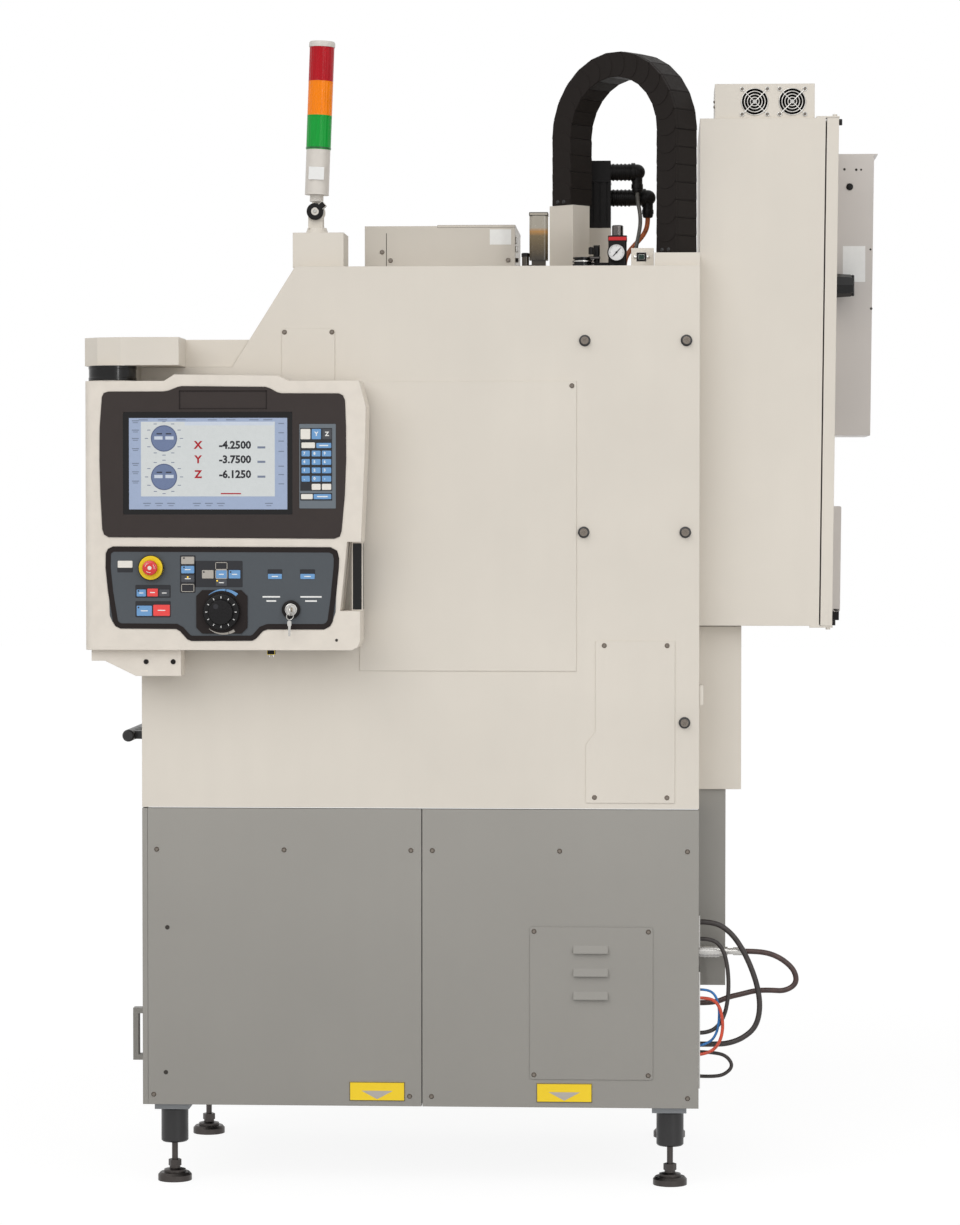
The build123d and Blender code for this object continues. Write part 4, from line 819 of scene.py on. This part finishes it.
def keypad(shape):
    """The keypad beside the screen, with plain figures on its keys."""
    shape.sheet(rounded(-252, -173, 1493, 1675, 2), 0, 0.6, "keypad film", PANEL_FACE)
    top = PANEL_FACE - 0.8
    print_face = top - 1.4
    for z in ((1531, 1666), (1510, 1526)):
        shape.block((-250, -181), (top, PANEL_FACE), z, "panel ink")
    for x0, x1, z0, z1, finish, sign in (
        (-249, -228, 1642, 1664, "key pale", ""), (-225, -205, 1642, 1664, "key blue", "Y"),
        (-202, -182, 1642, 1664, "key dark", "Z"), (-247, -218, 1623, 1635, "key pale", ""),
        (-215, -183, 1623, 1634, "key blue", ""), (-225, -206, 1533, 1546, "key pale", ""),
        (-203, -183, 1533, 1546, "key pale", ""), (-248, -223, 1513, 1524, "key pale", ""),
        (-221, -183, 1513, 1524, "key blue", ""),
    ):
        key(shape, x0, x1, z0, z1, finish, top)
        x, z = (x0 + x1) / 2, (z0 + z1) / 2
        if sign:
            shape.words(sign, x, z, 9, "print white", print_face)
        elif finish == "key blue":
            dash(shape, x, z, (x1 - x0) * 0.6, 2.4, "print white", print_face)
    for row, figures in enumerate(("789", "456", "123", ".0-")):
        for (x0, x1), figure in zip(((-247, -229), (-225, -206), (-203, -183)), figures):
            z0 = 1605 - 18.1 * row
            key(shape, x0, x1, z0, z0 + 12.4, "key blue", top)
            shape.words(figure, x0 + 6, z0 + 6.4, 6, "print white", print_face)


def lower_keys(shape):
    """The lower panel's keys in their printed fields."""
    face = PANEL_FACE - 0.25
    for field in (
        (-511, -477, 1311, 1392), (-479, -375, 1323, 1380), (-608, -531, 1300, 1328), (-608, -531, 1258, 1293),
        (-647, -613, 1355, 1365), (-321, -289, 1352, 1362), (-251, -218, 1352, 1362),
    ):
        shape.sheet(rounded(*field, 2, 2), 0, 0.3, "panel ink", face)
    top = face - 0.3
    for x0, x1, z0, z1, finish in (
        (-646, -614, 1365, 1380, "key pale"), (-508, -480, 1373, 1389, "key grey"),
        (-508, -480, 1353, 1369, "key blue"), (-508, -480, 1334, 1349, "key dark"),
        (-505, -482, 1315, 1327, "print dark"), (-431, -411, 1363, 1375, "print dark"),
        (-463, -438, 1342, 1360, "key grey"), (-433, -409, 1342, 1360, "key blue"),
        (-405, -380, 1342, 1360, "key blue"), (-433, -409, 1326, 1340, "key dark"),
        (-605, -585, 1303, 1318, "key blue"), (-582, -559, 1303, 1320, "key red"),
        (-556, -534, 1303, 1318, "key dark"), (-605, -572, 1261, 1283, "key blue"),
        (-569, -533, 1261, 1285, "key red"), (-320, -290, 1341, 1352, "key blue"),
        (-250, -219, 1341, 1352, "key blue"),
    ):
        key(shape, x0, x1, z0, z1, finish, top)
        if finish in ("key blue", "key red", "key dark"):
            dash(shape, (x0 + x1) / 2, (z0 + z1) / 2, (x1 - x0) * 0.45, 2.0, "print white", top - 1.4)
    for window in ((-508, -480, 1313, 1330), (-434, -408, 1361, 1377), (-434, -408, 1341, 1361)):
        shape.border(*window, 1.4, (top - 1.7, top - 0.6), "key grey")
    for x, wide in ((-313, 38), (-227, 46)):
        dash(shape, x, 1302.5, wide, 3.2, "print white", face)
        dash(shape, x, 1293.5, wide * 0.55, 3.2, "print white", face)
    dark = (-502, 1386), (-502, 1366), (-459, 1356), (-401, 1356), (-601, 1315), (-601, 1279)
    for lamp, places in (("led", ((-494, 1345), (-430, 1337))), ("print dark", dark)):
        for x, z in places:
            shape.cap(1.8, 0.5, 1.1, 0.8, 0.9, lamp, facing(x, top - 1.4, z), 12)


def dial_marks(shape):
    """The tapered arcs printed round the dial."""
    radius, thin, steps = 45.5, 0.8, 18
    for start, end, thick, finish in ((128, 48, 7.0, "key blue"), (232, 304, 6.0, "key grey")):
        inner, outer = [], []
        for k in range(steps + 1):
            a = radians(start + (end - start) * k / steps)
            for line, r in ((inner, radius), (outer, radius + thin + (thick - thin) * k / steps)):
                line.append((DIAL_X + r * cos(a), DIAL_Z + r * sin(a)))
        for k in range(steps):
            shape.sheet([inner[k], inner[k + 1], outer[k + 1], outer[k]], 0, 0.3, finish, CONSOLE_FACE - 2)


def control_film():
    """The outline of the lower panel's film, inside its raised border."""
    corners = [(-664, 1403), (-667, 1396), (-664, 1262), (-658, 1248), (-648, 1243), (-520, 1243), (-510, 1240),
               (-494, 1220), (-484, 1217), (-357, 1217), (-350, 1220), (-330, 1240), (-320, 1244), (-190, 1244),
               (-180, 1252), (-174, 1270), (-171, 1396), (-176, 1404)]
    return corners[::-1]


class MACHINE_OT_console(bpy.types.Operator):
    """Build the console's picture, keys, panel film and fittings"""
    bl_idname = "machine.console"
    bl_label = "Console"

    def execute(self, context):
        picture = Shape()
        screen_picture(picture)
        picture.piece("screen_picture", "console", "bezel_plastic")

        keys = Shape()
        for part in (keypad, lower_keys, dial_marks):
            part(keys)
        keys.piece("console_keys", "console", "panel_plastic")

        film_sheet = Shape().sheet(control_film(), 0, 0.25, "panel film", PANEL_FACE)
        film_sheet.piece("panel_film", "console", "panel_plastic")

        fittings = Shape()
        collar = [(27.0, 0), (27.5, 2), (27.5, 9), (25.5, 11.4), (20, 11.6), (19, 11.2), (0, 11.2)]
        fittings.turned(collar, "stop yellow", facing(STOP_X, CONSOLE_FACE, STOP_Z), 48)
        lock = facing(LOCK_X, CONSOLE_FACE, LOCK_Z)
        fittings.turned([(19.5, 0), (20.0, 1), (20.0, 4), (18.5, 5.2), (13.5, 5.4), (13.5, 5.0), (0, 5.0)],
                        BLACK, lock, 40)
        fittings.turned([(13.0, 4.8), (13.0, 6.0), (11.5, 6.8), (11.2, 6.6)], STEEL, lock, 32)
        fittings.cap(3.2, 0.5, 2.0, 1.0, 1.0, "shadow gap", facing(-172, SCREEN_GLASS, 1209))
        fittings.block((-326, -309), (-470, -452), (1176, 1187), BLACK, 1.0)
        for x in (-322, -313):
            fittings.disc(2.2, 0, 5, STEEL, spot(x, -461, 1171), 12)
        for x in (-588, -529):
            fittings.cap(5.5, 1.5, 4.0, 3.0, 3.2, BLACK, facing(x, -480, 1161))
        fittings.border(-512, -322, 1707, 1747, 2, (-502.4, -501), "panel border")
        fittings.piece("console_fittings", "console", "dark_plastic")

        grip = Shape().block((-143.5, -118.5), (-455.5, -424.5), (1271, 1420.5), "gloss black", 4.0)
        grip.piece("grip_sleeve", "console", "dark_plastic")

        lips = [(51.3, 1769.5), (52.2, 1770.5), (52.2, 1776), (51.4, 1777),
                (51.4, 1794), (52.2, 1795), (52.2, 1801), (51.3, 1801.6)]
        Shape().turned(lips, "gloss black", spot(-664, -450, 0), 64).piece("swivel_sleeve", "frame", "black_plastic")
        return {"FINISHED"}


class MACHINE_OT_dial(bpy.types.Operator):
    """Build the jog dial, the stop button's cap and the key with its ring"""
    bl_idname = "machine.dial"
    bl_label = "Dial, stop button and key"

    def execute(self, context):
        dial = Shape()
        place = facing(DIAL_X, -504.8, DIAL_Z)
        rim = [(36, 0), (39.5, 0.6), (40, 3), (39.6, 11), (37.8, 13.2), (34.5, 13.8), (28.0, 14.2), (27.4, 15.0),
               (27.0, 23.0), (25.6, 25.0), (22.5, 25.4), (0, 25.4)]
        dial.turned(rim, "dial plastic", place, 64)
        for k in range(12):
            dial.block((-0.9, 0.9), (29.5, 34.0), (13.7, 14.5), "print white", 0.0, place @ turn("Z", 30 * k))
        for k in range(60):
            dial.block((-0.7, 0.7), (39.2, 40.0), (3.5, 11.5), BLACK, 0.2, place @ turn("Z", 6 * k))
        dial.disc(5.5, 25.2, 25.5, "print dark", place @ spot(-10, 12, 0), 20)
        dial.disc(8, -28, 0.2, "dial plastic", place, 20)
        dial.piece("jog_dial_detail", "dial", "dark_plastic", ["jog_dial"])

        button = Shape()
        face = facing(STOP_X, -518.5, STOP_Z)
        mushroom = [(8, -36), (8, 0), (15.4, 0.2), (16.4, 1.6), (16.4, 7.6), (15.4, 10.2), (13.0, 11.5),
                    (7.5, 11.9), (0, 11.9)]
        button.turned(mushroom, "stop red", face, 48)
        button.disc(4.4, 11.6, 12.0, "key pale", face, 24)
        for k in range(3):
            for n in range(6):
                around = Matrix.Rotation(2 * pi * k / 3 + 0.4 + n * 0.16, 4, "Z")
                button.block((-0.95, 0.95), (9.4, 10.6), (11.5, 12.05), "key pale", 0.0, face @ around)
        button.piece("stop_button_detail", "stop_button", "stop_red", ["emergency_stop"])

        lock = Shape()
        face = facing(LOCK_X, -507.5, LOCK_Z)
        lock.turned([(8, -28), (8, 0), (11.0, 0.0), (11.0, 2.2), (10.2, 3.0), (5.0, 3.2), (4.4, 2.4), (0, 2.4)],
                    STEEL, face, 32)
        lock.block((-1.2, 1.2), (-4.2, 4.2), (2.0, 12), "brass", 0.3, face)
        lock.slab(circle(10.5, 20), -1.2, 1.2, STEEL, 0.4, face @ spot(0, -3, 14.8, ON_SIDE))
        loop = Matrix.Rotation(0.5, 4, "Y") @ Matrix.Rotation(0.3, 4, "X")
        lock.ring(8.0, 0.9, STEEL, face @ spot(0, -13.5, 19, loop), 28)
        tag = face @ spot(-1.5, -2, 18)
        lock.slab(rounded(-4.5, 4.5, -34, -21, 4, 4), -0.9, 0.9, STEEL, 0.3, tag)
        spare_key = [(-2.6, -52), (-1.4, -55), (1.2, -55), (2.6, -52), (2.6, -33), (-2.6, -33)]
        lock.slab(spare_key, -0.8, 0.8, STEEL, 0.2, tag)
        lock.piece("key_switch_detail", "key", "bright_steel", ["key_switch"])
        return {"FINISHED"}


# Drag chain

CHAIN = {"x": 419.0, "y": -245.0, "turn": 40.0, "height": 55.0, "width": 73.0, "outer": 180.0, "apex": 2500.0,
         "pitch": 38.0, "post": 2171.0, "tray": 2050.0}


def chain_places():
    """Each link's place in the chain's own upright plane, with its length at the inner and the outer side."""
    h = CHAIN["height"]
    r = CHAIN["outer"] - h / 2
    centre = CHAIN["apex"] - CHAIN["outer"]
    legs = {}
    for side, low in ((-1, CHAIN["post"]), (1, CHAIN["tray"])):
        count = round((centre - low) / CHAIN["pitch"])
        pitch = (centre - low) / count
        upright = turn("Y", side * 90)
        legs[side] = [(spot(side * r, 0, low + (n + 0.5) * pitch, upright), pitch, pitch) for n in range(count)]
    count = round(pi * r / CHAIN["pitch"])
    half = pi / count / 2
    bend = []
    for n in range(count):
        a = (2 * n + 1) * half
        bend.append((spot(-r * cos(a), 0, centre + r * sin(a), Matrix.Rotation(a - pi / 2, 4, "Y")),
                     2 * (r - h / 2) * tan(half), 2 * (r + h / 2) * tan(half)))
    return legs[-1] + bend + legs[1][::-1]


class MACHINE_OT_chain(bpy.types.Operator):
    """Build the drag chain's links, with their overlapping side plates"""
    bl_idname = "machine.chain"
    bl_label = "Drag chain"

    def execute(self, context):
        chain, plastic, gap = Shape(), "chain plastic", 0.3
        whole = spot(CHAIN["x"], CHAIN["y"], 0, turn("Z", -CHAIN["turn"]))
        h, width = CHAIN["height"] / 2, CHAIN["width"]
        rise = h - 0.8
        for place, inner, outer in chain_places():
            body = [(gap - inner / 2, -h), (inner / 2 - gap, -h), (outer / 2 - gap, h), (gap - outer / 2, h)]
            flat = whole @ place @ ON_FACE
            chain.slab(body, -width + 0.6, -0.6, plastic, 0.7, flat)
            middle = (inner + outer) / 4
            back, shoulder = 1 - middle, middle - 6
            plate = [(back, -rise), (shoulder, -rise)]
            plate += [(shoulder + 20 * cos(radians(a)), rise * sin(radians(a))) for a in range(-75, 90, 15)]
            plate += [(shoulder, rise), (back, rise)]
            for depth, tilt in ((-0.7, -1.8), (-width + 0.7, 1.8)):
                chain.slab(plate, -0.9, 0.9, plastic, 0.3, flat @ spot(0, 0, depth, turn("Y", tilt)))
            strip = outer / 2 - 2.5
            chain.block((-strip, strip), (8, width - 8), (h - 0.5, h + 0.6), plastic, 0.4, whole @ place)
        for side, low in ((-1, CHAIN["post"]), (1, CHAIN["tray"])):
            x = side * (CHAIN["outer"] - h)
            chain.block((x - 26, x + 26), (-1.4, 0.5), (low + 1, low + 14), plastic, 0.5, whole)
            for off in (-9, 9):
                chain.cap(4.5, 1.2, 3.2, 2.4, 2.6, "black steel", whole @ facing(x + off, -1.4, low + 7.5))
        chain.piece("chain_links", "frame", "black_plastic", ["drag_chain"])
        return {"FINISHED"}


# Signal light

LIGHT_X, LIGHT_Z, LIGHT_LEAN = -236, 2147, 2.15


def tier(shape, low, high, radius, finish, place):
    """One lens with upright ribs and a bead at each end."""
    steps = sizes().lens_ribs * 4
    smooth = circle(radius, steps)
    outer, inner = circle(radius - 0.25, steps), circle(radius - 0.9, steps)
    ribbed = [(inner if k % 4 in (0, 1) else outer)[k] for k in range(steps)]
    rows = ((low, smooth), (low + 2, smooth), (low + 3, ribbed), (high - 3, ribbed), (high - 2, smooth), (high, smooth))
    shape.loft([[(x, y, z) for x, y in outline] for z, outline in rows], finish, 0.0, place)


class MACHINE_OT_signal_light(bpy.types.Operator):
    """Build the signal light's lenses, cap and knuckle"""
    bl_idname = "machine.signal_light"
    bl_label = "Signal light"

    def execute(self, context):
        lean = spot(LIGHT_X, -280, LIGHT_Z, turn("Y", LIGHT_LEAN))
        tiers = Shape()
        for n, finish in enumerate(("lens green", "lens amber", "lens red")):
            tier(tiers, 138 + 75 * n, 213 + 75 * n, 27.5, finish, lean)
        tiers.piece("signal_lenses", "stack_light", "lens_plastic", ["stack_tiers"])
        trim = Shape()
        trim.turned([(28.2, 363), (28.8, 364), (28.8, 372), (27, 375.4), (20, 376), (0, 376)], "lamp grey", lean, 48)
        trim.turned([(27.4, 139), (28.0, 139.6), (28.0, 142), (27.4, 142.6)], "lens rim", lean, 48)
        trim.slab(rounded(-17, 17, 70, 98, 1.5), 27.4, 28.6, "print white", 0.0, lean @ ON_FACE)
        knob = facing(LIGHT_X, -298.2, LIGHT_Z) @ turn("Z", -LIGHT_LEAN)
        trim.turned([(17.0, -0.2), (18.6, 0.6), (18.6, 10.4), (17.2, 11.8), (9.0, 12.0), (8.4, 11.2), (0, 11.2)],
                    BLACK, knob, 40)
        trim.block((6.5, 27.5), (-7.6, 7.6), (-0.1, 11.7), BLACK, 1.2, knob @ turn("Z", 42))
        trim.turned([(3.8, 11), (3.8, 12.6), (3.0, 13.4), (0, 13.6)], STEEL, knob, 24)
        trim.piece("signal_trim", "stack_light", "console_plastic")
        return {"FINISHED"}


# Roof

class MACHINE_OT_roof(bpy.types.Operator):
    """Build the small pieces on the roof: gauge, fittings, motor cover screws and plugs"""
    bl_idname = "machine.roof"
    bl_label = "Roof equipment"

    def execute(self, context):
        air = Shape()
        gauge = facing(428, -318, 2053)
        air.turned([(20, 12.8), (20, 14.4), (18.8, 15.0), (17.8, 14.2), (17.6, 12.4)], BLACK, gauge, 48)
        air.disc(17.8, 11.9, 12.3, "gauge face", gauge, 48)
        for k in range(25):
            inner = 15.8 - (3.4 if k % 4 == 0 else 1.8)
            tick = gauge @ turn("Z", -45 + 270 * k / 24)
            air.block((inner, 15.8), (-0.25, 0.25), (12.2, 12.5), "print dark", 0.0, tick)
        needle = [(-7, -0.9), (13.5, -0.25), (13.5, 0.25), (-7, 0.9)]
        air.slab(needle, 12.6, 13.1, "print dark", 0.0, gauge @ turn("Z", 47))
        air.turned([(2.2, 12.3), (2.2, 13.5), (0, 13.6)], BLACK, gauge, 16)
        air.turned([(12.9, 2091.0), (21.2, 2091.3), (21.2, 2090.2)], BLACK, spot(430, -298, 0), 32)
        air.block((409.2, 450.8), (-318.8, -277.2), (2079, 2089), "band red", 1.2)
        valve = spot(352, -300, 2024)
        air.turned([(21, 0), (21, 5), (17, 6), (17, 16), (20, 17), (20, 20), (0, 20)], "gloss black", valve, 32)
        air.turned([(20.4, 9.5), (21.4, 10), (21.4, 12.5), (20.4, 13)], STEEL, valve, 32)
        air.block((366, 392), (-309, -291), (2040, 2046), "knob chrome", 1.5)
        air.cap(5.5, 14, 3, 16, 16, BLACK, spot(372, -316, 2050))
        for k in range(3):
            air.turned([(4.6, 0), (5.6, 0.6), (5.6, 2.6), (4.6, 3.2)], "knob chrome", spot(376, -310, 2025 + 6 * k), 16)
        air.piece("air_fittings", "frame", "black_plastic")

        cover = Shape()
        for x, z in ((-100, 2068), (-81, 2049), (183, 2049)):
            cover.cap(5.2, 1.2, 3.8, 2.8, 3.0, "bolt steel", facing(x, -150, z))
        cover.block((-91, -89.6), (-150.3, -150), (ROOF, 2110), "shadow gap")
        cover.block((24, 199.3), (-150.6, 150), (2122, 2128.2), "cover paint", 0.8)
        cover.block((142, 190), (-150.3, -150), (2084, 2118), "print white")
        cover.cap(9, 3, 7.5, 4.4, 4.4, "cabinet paint", spot(108, 0, 2125), 20)
        for z, far, tall, finish in ((2027, 209, 11, BLACK), (2045, 206, 10, BLACK),
                                     (2068, 205, 14, STEEL), (2086, 203, 16, STEEL)):
            cover.block((199, far), (-140, -126), (z, z + tall), finish, 1.0)
        cover.piece("motor_cover_trim", "frame", "beige_paint")

        servo = Shape()
        for z, reach, y in ((2256.0, 471.0, -22.0), (2201.0, 495.0, 16.0)):
            for k in range(5):
                rib = spot(414 + k * 9, y, z, ON_SIDE)
                servo.turned([(17.8, 0), (19.6, 1.0), (19.6, 4.4), (17.8, 5.4)], BLACK, rib, 32)
            for profile, place, steps in (
                ([(19.5, 0), (21, 1), (21, 9), (19.5, 10)], spot(reach - 14, y, z, ON_SIDE), 32),
                ([(11.9, 0), (13.4, 1), (13.4, 10), (11.9, 12)], spot(reach, y, z - 38), 24),
                ([(8.5, 0), (11.2, 1.5), (11.2, 6), (8.5, 6)], spot(reach, y, z - 45.5), 24),
            ):
                servo.turned(profile, BLACK, place, steps)
        for x in (339, 403):
            servo.disc(5.5, 0, 5, STEEL, spot(x, -32, 2128), 12)
        servo.block((330, 412), (-41, 41), (2232, 2236), BLACK, 1.0)
        servo.piece("servo_trim", "frame", "black_plastic")

        bottle = Shape()
        filler = spot(226, -255, 2049)
        bottle.cap(9, 7, 7.5, 8.5, 8.5, BLACK, filler, 24)
        bottle.turned([(5, -6), (5, 0)], STEEL, filler, 16)
        bottle.cap(11.5, 2.4, 9, 3.4, 3.4, "oil plastic", spot(255.5, -255, 2142.6), 24)
        bottle.block((234.4, 276.6), (-275.6, -234.4), (2138, 2146.2), "oil plastic", 1.5)
        bottle.piece("bottle_trim", "frame", "oil_plastic")

        socket = Shape()
        for x in (469.0, 497.0):
            socket.cap(3.4, 1.0, 2.2, 1.8, 1.9, STEEL, facing(x, -321.6, 2043.5))
        socket.block((471.5, 493.5), (-321, -320), (2033.5, 2053.5), BLACK, 0.4)
        socket.block((476, 489), (-321.4, -301), (2038, 2049), "socket green", 0.5)
        socket.piece("roof_socket", "frame", "black_plastic")
        return {"FINISHED"}


# Cabinet

FAN_FACE, FAN_Z = -292, 2384
SWITCH_Z = 1999
DOOR_THICK = 29.0


def door_face(z, offset):
    """The cabinet's leaning front: its x at a height, moved out by an offset."""
    return 873 + (z - 1235) / 1112 * 12 + offset


def leaning(z0, z1, near, far):
    """An outline in x and z that follows the cabinet's leaning front."""
    return [(door_face(z0, near), z0), (door_face(z0, far), z0), (door_face(z1, far), z1), (door_face(z1, near), z1)]


class MACHINE_OT_cabinet(bpy.types.Operator):
    """Build the fan guards, the main switch and the small pieces of the cabinet"""
    bl_idname = "machine.cabinet"
    bl_label = "Cabinet"

    def execute(self, context):
        guards = Shape()
        wire = sizes().guard_wire / MM / 2
        for x in (730.0, 812.0):
            face, front = facing(x, FAN_FACE, FAN_Z), facing(x, FAN_FACE - 0.9, FAN_Z)
            # a black cup behind each guard: its wall is the fan's black plastic housing, and its closed back is painted
            # shade where the cabinet's inside lies dark
            guards.disc(29.4, -3.2, -27, BLACK, face, 40)
            for r in (29.1, 22.6, 16.1, 9.6):
                guards.ring(r, wire, STEEL, front)
            for a in (45, 135, 225, 315):
                way = Vector((cos(radians(a)), 0, sin(radians(a))))
                centre = front.translation
                guards.wire([centre + way * 4, centre + way * 35], wire, STEEL)
                corner = Matrix.Translation(way * 39)
                guards.ring(4.2, wire * 0.9, STEEL, corner @ front, 16)
                guards.cap(3.0, 1, 2.2, 1.8, 2.0, "bolt steel", corner @ face)
            guards.disc(4.5, 0, 1.6, STEEL, facing(x, FAN_FACE - 1, FAN_Z), 20)
        for z in (2385, 2374):
            guards.turned([(0, 0), (3.4, 0), (3.4, 2.2), (2.0, 3.4), (0, 3.6)], "bolt steel",
                          spot(643, -280, z, turn("Y", -90)), 12)
        guards.piece("fan_guards", "frame", "bright_steel")

        door = Shape()
        for z0, z1, y0, y1, out in ((1942, 2054, -46, 46, 9.2), (1684, 1806, -40, 0, 5), (1243, 1269, -150, -60, 22)):
            plate = leaning(z0, z1, DOOR_THICK - 0.3, DOOR_THICK + out)
            door.slab(plate, -y1, -y0, BLACK, 0.6, ON_FACE)
        for z in (2331.5, 1236.0):
            hinge = spot(door_face(z, DOOR_THICK) + 2.5, -292, z)
            door.turned([(0, 0), (4.6, 0), (5, 0.6), (5, 12.4), (4.4, 13.2), (0, 13.2)], BLACK, hinge, 20)
        door.piece("door_fittings", "cabinet_door", "black_plastic")

        box = Shape()
        for x, z, r in ((944, 2268, 3), (971, 2267, 3), (982, 2267, 2.4), (1004, 2085, 2.4), (1006, 1950, 3)):
            box.disc(r, 0, 0.4, "shadow gap", facing(x, 60, z), 14)
        box.cap(8, 1.6, 6.6, 2.6, 2.6, BLACK, facing(956, 60, 2228), 24)
        box.block((941, 992), (59.6, 60), (2011, 2093), "print white")
        box.piece("box_fittings", "cabinet_door", "bare_metal")

        switch = Shape()
        x = door_face(SWITCH_Z + 56, DOOR_THICK + 8) + 0.4
        hub = [(8, -30), (8, 0.2), (28.6, 0.2), (28.8, 3.5), (27.0, 5.0), (26.4, 14), (25.0, 36), (22.5, 40.5),
               (0, 41)]
        switch.turned(hub, "gloss black", spot(x, 0, SWITCH_Z, ON_SIDE), 8)
        switch.block((38, 44.8), (-6, 6), (-24, 24), "gloss black", 2.0, spot(x, 0, SWITCH_Z))
        switch.piece("main_switch_grip", "main_switch", "black_plastic", ["disconnect_knob"])
        return {"FINISHED"}


# Skirt and enclosure

class MACHINE_OT_skirt(bpy.types.Operator):
    """Build the skirt's holes, arrows on the lift plates, seams and the washers of the large bolts"""
    bl_idname = "machine.skirt"
    bl_label = "Skirt and enclosure"

    def execute(self, context):
        trim = Shape()
        for x, z in ((-557, 572), (-561, 252)):
            trim.turned([(5, 0), (5, 0.4), (3.6, 0.5), (3.4, 0.1), (0, 0.1)], "shadow gap",
                        facing(x, SIDE_FACE, z), 20)
        for x in (-155.0, 256.0):
            arrow = [(x + 26, 215), (x + 60.5, 196.5), (x + 95, 215)]
            trim.sheet(arrow, 0, 0.3, "key grey", COVER_FACE)
            trim.border(x, x + 121, 193, 234, 1, (COVER_FACE - 0.3, COVER_FACE), "print dark")
        trim.block((-598, 608), (SIDE_FACE - 0.15, SIDE_FACE), (836.2, 837.8), "print white")
        for x, z in ((360, 1858), (581, 1858), (358, 1441), (579, 1441), (578, 1026)):
            for y, up in ((-381, 90), (381, -90)):
                trim.turned([(12.6, -0.2), (12.6, 2.2), (10.5, 3.2), (8.6, 3.4)], "black steel",
                            spot(x, y, z, turn("X", up)), 28)
        trim.piece("skirt_trim", "frame", "grey_paint")
        return {"FINISHED"}


OPERATORS = (
    MACHINE_OT_stage, MACHINE_OT_cords, MACHINE_OT_cad_finishes, MACHINE_OT_console, MACHINE_OT_dial, MACHINE_OT_chain,
    MACHINE_OT_signal_light, MACHINE_OT_roof, MACHINE_OT_cabinet, MACHINE_OT_skirt,
)


class MACHINE_PT_looks(bpy.types.Panel):
    """Lists the machine's settings and the steps that build its looks"""
    bl_label = "Machining centre"
    bl_idname = "MACHINE_PT_looks"
    bl_space_type = "VIEW_3D"
    bl_region_type = "UI"
    bl_category = "Machine"

    def draw(self, context):
        for group in (context.scene.machine_colours, context.scene.machine_sizes, context.scene.machine_stage):
            box = self.layout.box()
            for name in type(group).__annotations__:
                box.prop(group, name)
        for operator in OPERATORS:
            self.layout.operator(operator.bl_idname)


CLASSES = (MachineColours, MachineSizes, StageSettings, *OPERATORS, MACHINE_PT_looks)


def register():
    for cls in CLASSES:
        bpy.utils.register_class(cls)
    bpy.types.Scene.machine_colours = PointerProperty(type=MachineColours)
    bpy.types.Scene.machine_sizes = PointerProperty(type=MachineSizes)
    bpy.types.Scene.machine_stage = PointerProperty(type=StageSettings)


def unregister():
    del bpy.types.Scene.machine_colours
    del bpy.types.Scene.machine_sizes
    del bpy.types.Scene.machine_stage
    for cls in reversed(CLASSES):
        bpy.utils.unregister_class(cls)


def main():
    """Builds everything in order."""
    register()
    for operator in OPERATORS:
        group, step = operator.bl_idname.split(".")
        getattr(getattr(bpy.ops, group), step)()


if __name__ == "__main__":
    main()
